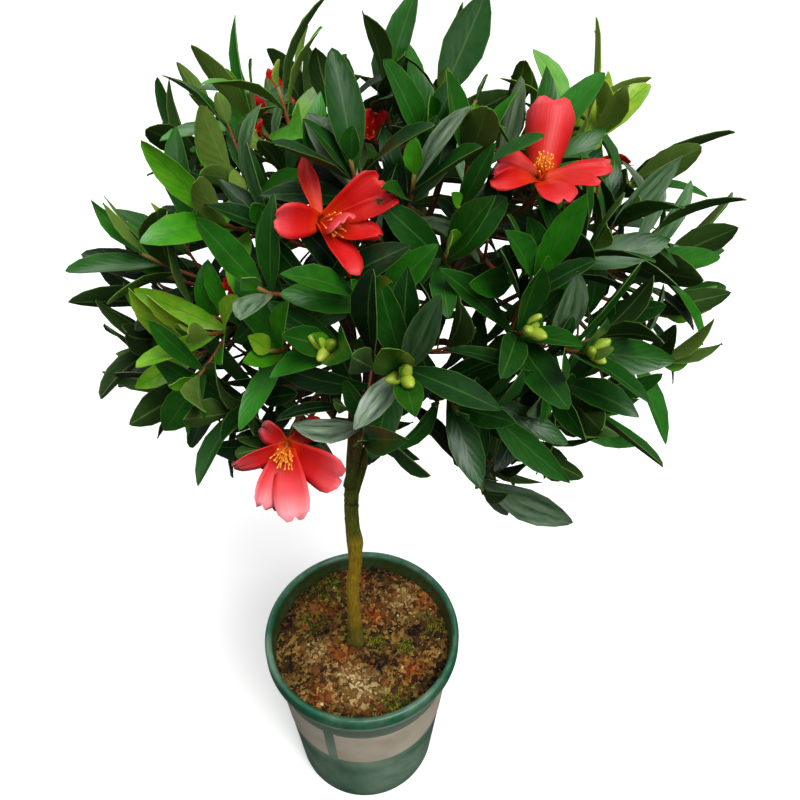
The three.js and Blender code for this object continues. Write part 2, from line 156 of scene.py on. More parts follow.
bm = bmesh.new()
bmesh.ops.create_grid(bm, x_segments=1, y_segments=1, size=FLOOR_HALF)
floor = new_object("floor", as_mesh("floor", bm))
floor.visible_diffuse = False  # no light comes back up from it, as if dark cards stood round the plant
floor.visible_glossy = False
paper, tree = new_material("matte_white_paper")
shade(
    tree, Base_Color=linear("#f6f6f4"), Roughness=0.9, Emission_Color=linear("#ffffff"),
    Emission_Strength=0.15)
floor.data.materials.append(paper)

world = bpy.data.worlds.new("pale_sky")
world.use_nodes = True
sky_tree = world.node_tree
way = add_node(sky_tree, "TexCoord").outputs["Generated"]
upness = add_node(sky_tree, "SeparateXYZ", {"Vector": way}).outputs["Z"]
lightness = add_node(
    sky_tree, "MapRange", {"Value": upness, "From Min": -0.2, "From Max": 0.5, "To Min": SKY_BELOW,
    "To Max": SKY_STRENGTH})
background = sky_tree.nodes["Background"]
background.inputs["Color"].default_value = linear(SKY)
sky_tree.links.new(in_use(lightness.outputs), background.inputs["Strength"])
bpy.context.scene.world = world
bpy.context.scene.view_settings.view_transform = "Standard"

# Each lamp: its place, the side of its square in metres, and its power in watts.
LAMPS = {
    "front_lamp": ((0.95, -1.25, 2.0), 0.8, 12),
    "left_lamp": ((-1.6, -0.6, 1.5), 0.8, 4),
    "back_lamp": ((-0.5, 1.5, 2.1), 1.0, 10),
}
CROWN_MIDDLE = Vector((0.047, 0, 0.7))
for name, (place, side, power) in LAMPS.items():
    lamp = new_object(name, bpy.data.lights.new(name, "AREA"))
    lamp.location = place
    lamp.rotation_euler = (Vector(place) - CROWN_MIDDLE).to_track_quat("Z", "Y").to_euler()
    lamp.data.size = side
    lamp.data.energy = power

# A very broad sun lights the floor evenly out to its far edge, as a cloudy sky does.
SUN_STRENGTH = 2.7
SUN_WIDTH = 34  # degrees across
SUN_TILT = (24, 18, 0)
sun = new_object("cloudy_sun", bpy.data.lights.new("cloudy_sun", "SUN"))
sun.rotation_euler = [math.radians(angle) for angle in SUN_TILT]
sun.data.energy = SUN_STRENGTH
sun.data.angle = math.radians(SUN_WIDTH)
print(len(LAMPS), "lamps and a sun")

# %% [markdown]
# ## Making a piece
#
# Every piece is modelled in millimetres, which keeps its numbers plain, and is brought to metres once, when
# it becomes an object. Its place is in its mesh, so the object itself sits at the origin, unturned, and a
# pattern that follows object coordinates stays where it is put.

# %% From a bmesh to a piece of the object
MM = 0.001


def as_piece(name, bm, materials, replaced=(), smooth=True):
    """Makes the object, gives it its materials and slot, and lets it stand for solids of the frame."""
    bmesh.ops.scale(bm, vec=(MM, MM, MM), verts=bm.verts)
    mesh = as_mesh(name, bm)
    for material in materials:
        mesh.materials.append(material)
    mesh.shade_smooth() if smooth else mesh.shade_flat()
    piece = new_object(name, mesh)
    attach(piece, "root")
    if replaced:
        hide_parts(*replaced)
    mesh.calc_loop_triangles()
    print(f"{name}: {len(mesh.loop_triangles)} triangles")
    return piece


def apply_modifiers(piece):
    """Replaces the piece's mesh by what its modifiers make of it."""
    seen = piece.evaluated_get(bpy.context.evaluated_depsgraph_get())
    finished = bpy.data.meshes.new_from_object(seen)
    piece.modifiers.clear()
    piece.data = finished


def mix(a, b, share):
    return a + (b - a) * share

# %% [markdown]
# ## The pot
#
# A nursery pot is injection-moulded from thin polypropylene: one tapered wall, a rolled lip that stiffens
# its mouth, two fine steps under the lip where pots stop when they are stacked, and drain holes round the
# floor. All of it but the holes is round, so the quickest true model is its half section, spun once round
# the axis. A boolean with five short pegs then opens the drain holes, which a spin alone can't make.

# %% The pot's section
POT_HEIGHT = 235
POT_TOP_RADIUS = 109
POT_BASE_RADIUS = 87
POT_WALL = 2
POT_FLOOR = 3
LIP_RADIUS = 115
LIP_DEPTH = 19
SPIN_STEPS = 120


def wall_radius(height):
    return mix(POT_BASE_RADIUS, POT_TOP_RADIUS, height / POT_HEIGHT)


def inner_radius(height):
    return wall_radius(height) - POT_WALL


def spun(bm, section, angle=360, steps=SPIN_STEPS, start=0):
    """Spins a chain of [radius, height] points round the Z axis from a start angle, and closes its poles."""
    direction = Vector((math.cos(math.radians(start)), math.sin(math.radians(start)), 0))
    chain = [bm.verts.new(direction * radius + Vector((0, 0, height))) for radius, height in section]
    edges = [bm.edges.new(pair) for pair in zip(chain, chain[1:])]
    bmesh.ops.spin(
        bm, geom=chain + edges, cent=(0, 0, 0), axis=(0, 0, 1), angle=math.radians(angle),
        steps=steps, use_merge=angle == 360)
    bmesh.ops.remove_doubles(bm, verts=bm.verts, dist=0.01)
    bmesh.ops.recalc_face_normals(bm, faces=bm.faces)


lip_foot = POT_HEIGHT - LIP_DEPTH
pot_section = [
    (0, 1.2), (POT_BASE_RADIUS - 9, 1.2), (POT_BASE_RADIUS - 7, 0), (POT_BASE_RADIUS - 1.6, 0),
    (wall_radius(0.6) - 0.4, 0.6), (wall_radius(2), 2.2), (wall_radius(20), 20), (wall_radius(110), 110),
    (wall_radius(190), 190), (wall_radius(192) + 0.9, 191.2), (wall_radius(203) + 0.9, 203),
    (wall_radius(204) + 2.0, 204.2), (wall_radius(lip_foot) + 2.0, lip_foot - 0.8),
    (LIP_RADIUS - 1.2, lip_foot), (LIP_RADIUS - 0.3, lip_foot + 0.7), (LIP_RADIUS, lip_foot + 2),
    (LIP_RADIUS, POT_HEIGHT - 4.5), (LIP_RADIUS - 0.5, POT_HEIGHT - 2.2),
    (LIP_RADIUS - 1.7, POT_HEIGHT - 0.6), (LIP_RADIUS - 3.2, POT_HEIGHT),
    (LIP_RADIUS - 4.8, POT_HEIGHT - 0.5), (inner_radius(POT_HEIGHT) + 0.6, POT_HEIGHT - 2.0),
    (inner_radius(228), 228),
    (inner_radius(217) - 0.6, 217), (inner_radius(215) - 1.2, 215.6), (inner_radius(110), 110),
    (inner_radius(8) - 1, 8), (inner_radius(POT_FLOOR) - 3, POT_FLOOR), (0, POT_FLOOR),
]

# %% [markdown]
# Dark green polypropylene is coloured right through and leaves the mould with a satin skin. Up close it has
# a very fine grain and faint upright flow marks. Dust and dried splashes have settled on the wall under the
# lip, which hands and water keep clean, and the inside is stained above the mix. The roughness carries the
# grain and the dust. The dust pales the green a little, and painted light pales it more towards the lip,
# where the lip's shade falls on the wall.

# %% Moulded green polypropylene
moulded_green, tree = new_material("moulded_green_polypropylene")
place = add_node(tree, "TexCoord").outputs["Object"]
upright = add_node(tree, "Mapping", {"Vector": place, "Scale": (1, 1, 0.06)})
flow = add_node(tree, "TexNoise", {"Vector": upright, "Scale": 90.0, "Detail": 3.0})
green = add_node(tree, "ValToRGB", {"Fac": flow}, [(0.3, "#0d4a30"), (0.7, "#14583b")])
dust = add_node(tree, "TexNoise", {"Vector": place, "Scale": 14.0, "Detail": 8.0, "Roughness": 0.65})
height = add_node(tree, "SeparateXYZ", {"Vector": place}).outputs["Z"]
under_lip = add_node(tree, "MapRange", {"Value": height, "From Min": 0.222, "From Max": 0.214})
# Painted light: the wall is paled more towards the lip, where the lip's shade falls on it.
painted_light_towards_lip = add_node(
    tree, "MapRange", {"Value": height, "From Min": 0.09, "From Max": 0.2, "To Min": 0.2, "To Max": 1.1})
wall_dust_and_painted_light = add_node(tree, "Math", {0: under_lip, 1: painted_light_towards_lip}, operation="MULTIPLY")
dust_and_light_amount = add_node(tree, "Math", {0: dust, 1: 1.2, 2: wall_dust_and_painted_light}, operation="MULTIPLY_ADD")
dust_and_painted_light = add_node(tree, "MapRange", {"Value": dust_and_light_amount, "From Min": 0.55, "From Max": 1.2, "To Max": 0.85})
stain = add_node(tree, "Attribute", attribute_name="stain").outputs["Fac"]
outside = add_node(tree, "Math", {0: 1.0, 1: stain}, operation="SUBTRACT")
dust_and_light_outside = add_node(tree, "Math", {0: dust_and_painted_light, 1: outside}, operation="MULTIPLY")
# The green is paled by dust and by that painted light, on the outside only.
paled_by_dust_and_light = add_node(
    tree, "Mix", {"Factor": dust_and_light_outside, "A": green, "B": linear("#9cb49a")}, data_type="RGBA")
soiled = add_node(tree, "TexNoise", {"Vector": place, "Scale": 150.0, "Detail": 6.0, "Roughness": 0.7})
soil_film = add_node(tree, "MapRange", {"Value": soiled, "From Min": 0.3, "From Max": 0.52})
film = add_node(tree, "Math", {0: soil_film, 1: stain}, operation="MULTIPLY")
stained = add_node(tree, "Mix", {"Factor": film, "A": paled_by_dust_and_light, "B": linear("#30340f")}, data_type="RGBA")
gloss = add_node(
    tree, "MapRange", {"Value": dust, "From Min": 0.35, "From Max": 0.75, "To Min": 0.3, "To Max": 0.52})
grain = add_node(tree, "TexNoise", {"Vector": place, "Scale": 1400.0, "Detail": 2.0})
relief = add_node(tree, "Bump", {"Height": grain, "Strength": 0.12, "Distance": 0.0003})
shade(tree, Base_Color=stained, Roughness=gloss, IOR=1.49, Normal=relief)

# %% Spin the pot and open its drain holes
DRAINS = 5
DRAIN_RADIUS = 7
DRAIN_RING = 62

bm = bmesh.new()
spun(bm, pot_section)
pot = as_piece("nursery_pot", bm, [moulded_green], ["pot"])

bm = bmesh.new()
for i in range(DRAINS):
    spot = Matrix.Rotation(math.tau * i / DRAINS, 4, "Z") @ Matrix.Translation((DRAIN_RING, 0, 0))
    bmesh.ops.create_cone(
        bm, cap_ends=True, segments=24, radius1=DRAIN_RADIUS, radius2=DRAIN_RADIUS, depth=4 * POT_FLOOR,
        matrix=spot)
bmesh.ops.scale(bm, vec=(MM, MM, MM), verts=bm.verts)
pegs = new_object("pegs", as_mesh("pegs", bm))
cut = pot.modifiers.new("drains", "BOOLEAN")
cut.object = pegs
cut.solver = "EXACT"
apply_modifiers(pot)
bpy.data.objects.remove(pegs)
pot.data.shade_smooth()

# Watering has left a film of soil and algae on the inside, from the mix up to just below the rim.
STAIN_LOW, STAIN_HIGH = 208, 231
stain = pot.data.attributes.new("stain", "FLOAT", "POINT")
for vert in pot.data.vertices:
    height = vert.co.z / MM
    is_inside = math.hypot(vert.co.x, vert.co.y) / MM < inner_radius(height) + 0.4
    stain.data[vert.index].value = 0.95 if is_inside and STAIN_LOW < height < STAIN_HIGH else 0
print("pot with", DRAINS, "drain holes:", len(pot.data.polygons), "faces")

# %% [markdown]
# ## The bare label panels
#
# Cream panels are printed on the wall, one after another round the pot with a narrow strip of green between
# them. Print has almost no thickness, but a film of a fifth of a millimetre keeps it clear of the wall and
# gives it a crisp edge. Each is an upright line spun through its share of the circle and then thickened.
# The panels stay plain, with only the slightly uneven cream of ink on plastic and a few scuffs.

# %% Cream ink on plastic
cream_ink, tree = new_material("cream_printed_ink")
place = add_node(tree, "TexCoord").outputs["Object"]
blotches = add_node(tree, "TexNoise", {"Vector": place, "Scale": 22.0, "Detail": 5.0})
cream = add_node(
    tree, "ValToRGB", {"Fac": blotches}, [(0.3, "#b2a690"), (0.5, "#c2b6a2"), (0.7, "#cbc0ae")])
scuffs = add_node(tree, "TexNoise", {"Vector": place, "Scale": 260.0, "Detail": 3.0})
ink_relief = add_node(tree, "Bump", {"Height": scuffs, "Strength": 0.2, "Distance": 0.0004})
shade(tree, Base_Color=cream, Roughness=0.5, IOR=1.49, Normal=ink_relief)

# %% Wrap the panels round the wall
PANELS = 3
PANEL_START = -107  # degrees from +X, where one panel's left edge stands
PANEL_GAP = 7
PANEL_LOW = 112
PANEL_HIGH = 180
PANEL_STEPS = 48
INK = 0.2

bm = bmesh.new()
for i in range(PANELS):
    pitch = 360 / PANELS
    piece_bm = bmesh.new()
    heights = [PANEL_LOW, mix(PANEL_LOW, PANEL_HIGH, 0.5), PANEL_HIGH]
    spun(
        piece_bm, [(wall_radius(height) + 0.25, height) for height in heights], angle=pitch - PANEL_GAP,
        steps=PANEL_STEPS, start=PANEL_START + pitch * i)
    outward = piece_bm.faces[:][0]
    if outward.normal.dot(outward.calc_center_median() * Vector((1, 1, 0))) < 0:
        bmesh.ops.reverse_faces(piece_bm, faces=piece_bm.faces)
    bmesh.ops.solidify(piece_bm, geom=piece_bm.faces[:], thickness=-INK)
    film = as_mesh("film", piece_bm)
    bm.from_mesh(film)
    bpy.data.meshes.remove(film)
as_piece("label_panels", bm, [cream_ink], smooth=False)

# %% [markdown]
# ## The potting mix
#
# The mix is composted bark and peat with grit in it. It has settled into a shallow uneven bed, green with
# moss where it stays damp, pale where grit has washed clean, rusty where fresh bark shows, and painted
# nearly black where shade falls on it. We spin a closed plug that fills the pot, lift its top by noise at
# two sizes,
# and then lay real crumbs on it: chips of bark, grains of grit and tufts of moss. One small ball and one
# small block, turned, stretched and tinted by chance, make all of them.

# %% A number fixed by whole-number keys
def chance(*keys):
    """From 0 to 1, always the same for the same keys, so every crumb, twig and leaf has its own."""
    value = 2166136261
    for key in keys:
        value = (value ^ (key + 1)) * 16777619 & 0xFFFFFFFF
        value = (value ^ (value >> 15)) * 2246822519 & 0xFFFFFFFF
    value = (value ^ (value >> 13)) * 3266489917 & 0xFFFFFFFF
    return (value ^ (value >> 16)) / 4294967296


def vary(low, high, *keys):
    return mix(low, high, chance(*keys))

# %% Where rust, pale grit and moss have gathered, and where shade is painted
# Each spot: its place on the bed and how far it reaches.
RUST_SPOTS = [
    (-24, -18, 12), (-51, 42, 15), (82, 56, 16), (61, -39, 13), (-12, 84, 15), (-44, -70, 13), (12, 34, 12),
    (-8, -40, 9)]
PALE_SPOTS = [(-4, -58, 24), (-54, -14, 14), (48, 60, 15), (20, -66, 12), (62, 30, 9)]
MOSS_SPOTS = [
    (-54, 68, 26), (17, -3, 10), (51, -9, 10), (40, -78, 20), (-10, 10, 14), (84, 20, 15), (-60, 22, 18)]
# Painted shade: near-black patches where shade falls on the bed.
PAINTED_SHADE_SPOTS = [
    (16, -32, 16), (-50, 12, 18), (-96, 24, 16), (64, 12, 13), (78, -52, 15), (18, 98, 20), (-86, -36, 12)]


def gathered(spots, x, y):
    """From 0 to 1, how much of something has gathered at a place, with ragged edges."""
    ragged = 1 + 0.7 * noise.noise(Vector((x, y, 5)) / 9) + 0.5 * noise.noise(Vector((x, y, 8)) / 3.5)
    nearest = max(math.exp(-((x - cx) ** 2 + (y - cy) ** 2) / reach ** 2) for cx, cy, reach in spots)
    return min(1, nearest * ragged)

# %% [markdown]
# The bed's own colour is a heap of small crumbs: irregular cells a few millimetres wide, each with a tone
# of its own from black peat to tan bark. Where rusty bark, pale grit or moss has gathered, an attribute of
# the bed leads the tone that way, and another leads it to near black where shade is painted. The loose
# crumbs carry a tint from black bark at 0 through rust and tan to pale grit at 1.

# %% Composted bark and peat
peat_bed, tree = new_material("composted_bark_and_peat")
place = add_node(tree, "TexCoord").outputs["Object"]
warp = add_node(tree, "TexNoise", {"Vector": place, "Scale": 160.0, "Detail": 4.0})
warped = add_node(
    tree, "VectorMath", {0: warp.outputs["Color"], 1: (0.009, 0.009, 0.009), 2: place},
    operation="MULTIPLY_ADD")
lumps = add_node(tree, "TexVoronoi", {"Vector": warped, "Scale": 210.0})
tones = add_node(tree, "SeparateColor", {"Color": lumps.outputs["Color"]})
fines = add_node(tree, "TexNoise", {"Vector": place, "Scale": 620.0, "Detail": 6.0, "Roughness": 0.75})
tone = add_node(tree, "Math", {0: fines, 1: 0.9, 2: tones.outputs["Red"]}, operation="MULTIPLY_ADD")
toned = add_node(tree, "MapRange", {"Value": tone, "From Min": 0.2, "From Max": 1.5})
BED_TONES = {
    "peat": [(0.14, "#0c0803"), (0.4, "#3a270d"), (0.62, "#684a1a"), (0.85, "#98763a")],
    "rust": [(0.1, "#281004"), (0.45, "#74340c"), (0.7, "#a45014"), (0.9, "#c07a34")],
    "pale": [(0.1, "#3a2a0e"), (0.4, "#80602c"), (0.65, "#a88850"), (0.9, "#d8c08c")],
    "moss": [(0.1, "#131a04"), (0.45, "#323e0a"), (0.7, "#585e12"), (0.9, "#8a8620")],
    # Painted shade, near black.
    "painted_shade": [(0.1, "#050402"), (0.45, "#120e04"), (0.7, "#281c0a"), (0.9, "#4a3818")],
}
ramps = {
    name: add_node(tree, "ValToRGB", {"Fac": toned}, stops)
    for name, stops in BED_TONES.items()}
bed_colour = ramps["peat"]
for name in ("rust", "pale", "moss", "painted_shade"):
    amount = add_node(tree, "Attribute", attribute_name=name).outputs["Fac"]
    bed_colour = add_node(
        tree, "Mix", {"Factor": amount, "A": bed_colour, "B": ramps[name]}, data_type="RGBA")
bed_relief = add_node(tree, "Bump", {"Height": toned, "Strength": 1.0, "Distance": 0.003})
shade(tree, Base_Color=bed_colour, Roughness=0.92, Specular_IOR_Level=0.15, Normal=bed_relief)

loose_crumbs, tree = new_material("bark_chips_and_grit")
tint = add_node(tree, "Attribute", attribute_name="tint").outputs["Fac"]
place = add_node(tree, "TexCoord").outputs["Object"]
mottle = add_node(tree, "TexNoise", {"Vector": place, "Scale": 700.0, "Detail": 4.0})
stained = add_node(tree, "Math", {0: mottle, 1: 0.22, 2: tint}, operation="MULTIPLY_ADD")
crumb_colour = add_node(
    tree, "ValToRGB", {"Fac": stained}, [(0.1, "#160e04"), (0.26, "#3e240a"), (0.4, "#7a4014"),
    (0.54, "#6e5222"), (0.72, "#947843"), (0.95, "#c8b688")])
crumb_relief = add_node(tree, "Bump", {"Height": mottle, "Strength": 0.5, "Distance": 0.001})
shade(tree, Base_Color=crumb_colour, Roughness=0.85, Specular_IOR_Level=0.25, Normal=crumb_relief)

moss_tufts, tree = new_material("living_cushion_moss")
tint = add_node(tree, "Attribute", attribute_name="tint").outputs["Fac"]
tuft_colour = add_node(
    tree, "ValToRGB", {"Fac": tint}, [(0.0, "#222c08"), (0.5, "#535e10"), (0.85, "#858a1a"),
    (1.0, "#b2a62c")])
shade(tree, Base_Color=tuft_colour, Roughness=0.85, Specular_IOR_Level=0.2)

# %% Spin the bed and make its top uneven
SOIL_LEVEL = 212
SOIL_FALL = 3
SOIL_RINGS = 44
SOIL_GAP = 0.35
BED_LUMP = 9.0  # the height of its slow swells, and below it that of its crumbs
BED_CRUMB = 4.6
BACK_HEAP = 5  # how much higher the mix is heaped at the back


def bed_height(x, y):
    """How high the bed stands at a place, with a low mound round the trunk's foot."""
    swell = noise.noise(Vector((x, y, 3)) / 30) * BED_LUMP * 0.5
    crumb = noise.fractal(Vector((x, y, 9)) / 9, 0.8, 2.0, 3) * BED_CRUMB * 0.4
    foot = math.exp(-((x + 8) ** 2 + y ** 2) / 500)
    heaped = BACK_HEAP * max(0, y / 100) ** 1.5
    return SOIL_LEVEL + (swell + crumb) * (1 - 0.6 * foot) + 1.5 * foot + heaped


rim = inner_radius(SOIL_LEVEL - SOIL_FALL) - SOIL_GAP
section = [(0, POT_FLOOR + SOIL_GAP), (inner_radius(POT_FLOOR) - 3.5, POT_FLOOR + SOIL_GAP)]
section.append((rim, SOIL_LEVEL - SOIL_FALL))
section += [(rim * ring / SOIL_RINGS, SOIL_LEVEL) for ring in range(SOIL_RINGS - 1, -1, -1)]
bm = bmesh.new()
spun(bm, section, steps=200)
gatherings = {"rust": RUST_SPOTS, "pale": PALE_SPOTS, "moss": MOSS_SPOTS, "painted_shade": PAINTED_SHADE_SPOTS}
layers = {name: bm.verts.layers.float.new(name) for name in gatherings}
for vert in bm.verts:
    x, y, z = vert.co
    for name, layer in layers.items():
        vert[layer] = gathered(gatherings[name], x, y)
    if z > SOIL_LEVEL - 0.5:
        fall = SOIL_FALL * max(0, math.hypot(x, y) / rim - 0.9) * 8
        vert.co.z = bed_height(x, y) - fall
as_piece("potting_mix", bm, [peat_bed], ["soil"])

# %% Lay the crumbs and the moss on it
def fresh_copy(bm, template):
    """Adds one more copy of a small mesh, and gives the vertices of that copy."""
    first = len(bm.verts)
    bm.from_mesh(template)
    bm.verts.ensure_lookup_table()
    return bm.verts[first:]


def add_copy(bm, template, matrix, tint):
    """Adds a copy that is placed by a matrix and tinted as a whole."""
    fresh = fresh_copy(bm, template)
    bmesh.ops.transform(bm, matrix=matrix, verts=fresh)
    layer = bm.verts.layers.float["tint"]
    for vert in fresh:
        vert[layer] = tint


def tinted_bmesh():
    bm = bmesh.new()
    bm.verts.layers.float.new("tint")
    return bm


def template_of(make):
    """A small mesh made by one function of an empty bmesh, to be copied many times."""
    bm = tinted_bmesh()
    make(bm)
    return as_mesh("template", bm)


def make_grain(bm):
    bmesh.ops.create_icosphere(bm, subdivisions=1, radius=1)
    for index, vert in enumerate(bm.verts):
        vert.co *= vary(0.75, 1.2, 31, index)


def make_chip(bm):
    bmesh.ops.create_cube(bm, size=1)
    bmesh.ops.subdivide_edges(bm, edges=bm.edges[:], cuts=1, use_grid_fill=True)
    for index, vert in enumerate(bm.verts):
        vert.co *= vary(0.75, 1.15, 32, index)
        vert.co.z += 0.25 * vert.co.x ** 2


def make_tuft(bm):
    bmesh.ops.create_cone(bm, cap_ends=True, segments=3, radius1=1, radius2=0, depth=1,
                          matrix=Matrix.Translation((0, 0, 0.4)))


def scattered(kind, index):
    """A place on the bed and a turn of its own, kept off the trunk."""
    reach = (rim - 3) * math.sqrt(chance(kind, index, 1))
    angle = math.tau * chance(kind, index, 2)
    x, y = reach * math.cos(angle), reach * math.sin(angle)
    return None if math.hypot(x + 8, y) < 11 else (x, y)


def tumbled(kind, index, spot, size, sink):
    """The matrix of a crumb that lies tumbled on the bed."""
    x, y = spot
    turn = Quaternion((0, 0, 1), math.tau * chance(kind, index, 3)).to_matrix().to_4x4()
    tip = Quaternion((1, 0.4, 0), vary(-0.5, 0.5, kind, index, 4)).to_matrix().to_4x4()
    return Matrix.Translation((x, y, bed_height(x, y) - sink)) @ turn @ tip @ Matrix.Diagonal((*size, 1))


GRITS, CHIPS, TUFTS = 1500, 800, 1700
grain, chip, tuft = template_of(make_grain), template_of(make_chip), template_of(make_tuft)

bm = tinted_bmesh()
for i in range(GRITS):
    spot = scattered(1, i)
    if spot:
        pale = gathered(PALE_SPOTS, *spot)
        size = vary(0.6, 1.5, 1, i, 5) + max(0, vary(-8, 1.6, 1, i, 8))
        shape = [size * vary(0.7, 1.3, 1, i, axis) for axis in (6, 7)] + [size * 0.8]
        tone = vary(0.1, 0.55, 1, i, 9) + max(0, vary(-5, 0.5, 1, i, 10)) + 0.4 * pale
        # Grains in the painted shade are darkened too.
        add_copy(bm, grain, tumbled(1, i, spot, shape, 0.1), tone - 0.4 * gathered(PAINTED_SHADE_SPOTS, *spot))
for i in range(CHIPS):
    spot = scattered(2, i)
    if spot:
        rust, pale = gathered(RUST_SPOTS, *spot), gathered(PALE_SPOTS, *spot)
        long = vary(2.0, 5.0, 2, i, 5) + max(0, vary(-70, 6, 2, i, 9))
        shape = [long, long * vary(0.5, 0.95, 2, i, 6), long * vary(0.25, 0.5, 2, i, 7)]
        tone = vary(0.0, 0.24, 2, i, 8) + 0.25 * rust + 0.45 * pale
        add_copy(bm, chip, tumbled(2, i, spot, shape, 0.0), tone)
as_piece("crumbs", bm, [loose_crumbs])

bm = tinted_bmesh()
for i in range(TUFTS):
    x, y, spread = MOSS_SPOTS[i % len(MOSS_SPOTS)]
    reach = spread * chance(3, i, 1) ** 0.7
    angle = math.tau * chance(3, i, 2)
    spot = (x + reach * math.cos(angle), y + reach * math.sin(angle))
    if math.hypot(*spot) < rim - 3 and math.hypot(spot[0] + 8, spot[1]) > 10:
        wide = vary(0.5, 1.0, 3, i, 5)
        add_copy(bm, tuft, tumbled(3, i, spot, (wide, wide, vary(1.4, 3.4, 3, i, 6)), 0.3), chance(3, i, 7))
as_piece("moss", bm, [moss_tufts])

# %% [markdown]
# ## The plan of the plant
#
# The frame's solids were grown by a rule: masses of foliage stand round an egg-shaped crown at set bearings
# and elevations, limbs leave the trunk and one another in rising curves to reach them, each mass has a stem
# from which shoots fan out like the seeds of a sunflower, and each shoot bears a whorl of leaves. The same
# rule is written again here, with the same sizes and the same chances, so that what we grow starts where
# the solids are.

# %% The sizes of the plant, in millimetres and degrees
TRUNK_LINE = [(-8, 0, 212.3), (-8, -1, 320), (-4, 1, 360), (-3, 0, 390), (-5, 0, 425), (-4, 0, 486)]
TRUNK_RADII = [
    (0, 11.2), (0.04, 8.8), (0.2, 7.5), (0.45, 7.0), (0.58, 7.5), (0.66, 8.9), (0.74, 7.7), (1, 6.6)]
CROWN_CENTRE = Vector((47, 0, 735))
CROWN_HALF = Vector((258, 240, 215))
HEART = 0.36  # the share of the crown at which a limb ends and its mass's stem begins
STEM_END = 0.58
OUTSIDE = 1.08
UNDERSIDE = 578
GOLDEN_TURN = 137.508
UP = Vector((0, 0, 1))

# Each mass: bearing, elevation, fan, number of shoots, seed, and the painted light on its leaves
# from 0 to 1, lighter where the crown is lit and darker where it is in shade.
MASSES = {
    "front": (0, 15, 30, 5, 1, 0.5),
    "front_low": (-20, -10, 30, 5, 2, 0.3),
    "front_left": (-42, 12, 28, 5, 3, 0.72),
    "front_right": (34, 12, 28, 5, 4, 0.54),
    "low_right": (34, -28, 26, 4, 5, 0.4),
    "left": (-80, -2, 32, 5, 6, 0.22),
    "right": (74, 12, 31, 5, 7, 0.53),
    "upper_front": (-14, 43, 28, 5, 8, 0.35),
    "upper_right": (30, 46, 28, 5, 9, 0.62),
    "upper_left": (-62, 46, 31, 5, 38, 0.6),
    "upper_side_right": (82, 48, 28, 5, 21, 0.55),
    "top": (-20, 80, 26, 5, 12, 0.4),
    "back_left": (-124, 8, 35, 5, 13, 0.35),
    "back": (178, 2, 36, 5, 14, 0.4),
    "back_right": (122, 6, 34, 5, 15, 0.45),
    "upper_back_left": (-134, 52, 32, 5, 16, 0.5),
    "upper_back_right": (146, 52, 32, 5, 17, 0.5),
}

# Each limb: what it leaves, how far along that, the mass it carries, and its radius where it starts.
LIMBS = {
    "bough_left": ("trunk", 0.84, "left", 4.6),
    "bough_right": ("trunk", 0.9, "right", 5.4),
    "bough_front": ("trunk", 0.95, "front", 4.4),
    "bough_back": ("trunk", 0.92, "back", 4.8),
    "bough_middle": ("trunk", 0.985, "top", 5.6),
    "branch_front_left": ("bough_left", 0.36, "front_left", 3.4),
    "branch_back_left": ("bough_left", 0.5, "back_left", 3.4),
    "branch_front_low": ("bough_front", 0.3, "front_low", 3.2),
    "branch_front_right": ("bough_right", 0.42, "front_right", 3.6),
    "branch_low_right": ("bough_right", 0.28, "low_right", 3.2),
    "branch_back_right": ("bough_back", 0.42, "back_right", 3.4),
    "branch_upper_front": ("bough_middle", 0.3, "upper_front", 3.6),
    "branch_upper_left": ("bough_middle", 0.4, "upper_left", 3.6),
    "branch_upper_right": ("bough_middle", 0.5, "upper_right", 3.6),
    "branch_upper_back_left": ("bough_middle", 0.62, "upper_back_left", 3.2),
    "branch_upper_back_right": ("bough_back", 0.55, "upper_back_right", 3.2),
    "branch_upper_side_right": ("bough_right", 0.6, "upper_side_right", 3.2),
}
LIMB_TIP_RADIUS = 2.6

# %% Directions and lines
def towards(bearing, elevation):
    """The unit vector at a bearing from the front and an elevation, both in degrees."""
    b, e = math.radians(bearing), math.radians(elevation)
    return Vector((math.cos(e) * math.sin(b), -math.cos(e) * math.cos(b), math.sin(e)))


def on_crown(direction, share):
    return CROWN_CENTRE + direction * CROWN_HALF * share


def across(direction):
    """Two unit vectors across a direction."""
    pole = Vector((0, -1, 0)) if abs(direction.z) > 0.95 else UP
    east = pole.cross(direction).normalized()
    return east, direction.cross(east)


def fanned(axis, angle, turn):
    """A direction turned by an angle away from an axis, at a turn round it."""
    east, north = across(axis)
    a, t = math.radians(angle), math.radians(turn)
    return axis * math.cos(a) + east * math.sin(a) * math.cos(t) + north * math.sin(a) * math.sin(t)


def along(pairs, place):
    """The value at a place in a list of (place, value) pairs, in straight steps."""
    for (p0, v0), (p1, v1) in zip(pairs, pairs[1:]):
        if place <= p1:
            return mix(v0, v1, (place - p0) / (p1 - p0))
    return pairs[-1][1]


class Line:
    """A smooth line kept as close points, read by the share of its length."""

    def __init__(self, points):
        self.points = points
        self.reach = [0]
        for a, b in zip(points, points[1:]):
            self.reach.append(self.reach[-1] + (b - a).length)
        self.length = self.reach[-1]

    def at(self, share):
        target = min(max(share, 0), 1) * self.length
        for i in range(1, len(self.points)):
            if self.reach[i] >= target:
                span = self.reach[i] - self.reach[i - 1] or 1
                return self.points[i - 1].lerp(self.points[i], (target - self.reach[i - 1]) / span)
        return self.points[-1].copy()

    def tangent(self, share):
        near = 0.5 / max(self.length, 1)
        return (self.at(min(1, share + near)) - self.at(max(0, share - near))).normalized()


def bezier(*handles, steps=24):
    """A Bezier line through its first and last handle, by repeated straight steps between them."""
    points = []
    for i in range(steps + 1):
        level = [handle.copy() for handle in handles]
        while len(level) > 1:
            level = [a.lerp(b, i / steps) for a, b in zip(level, level[1:])]
        points.append(level[0])
    return Line(points)


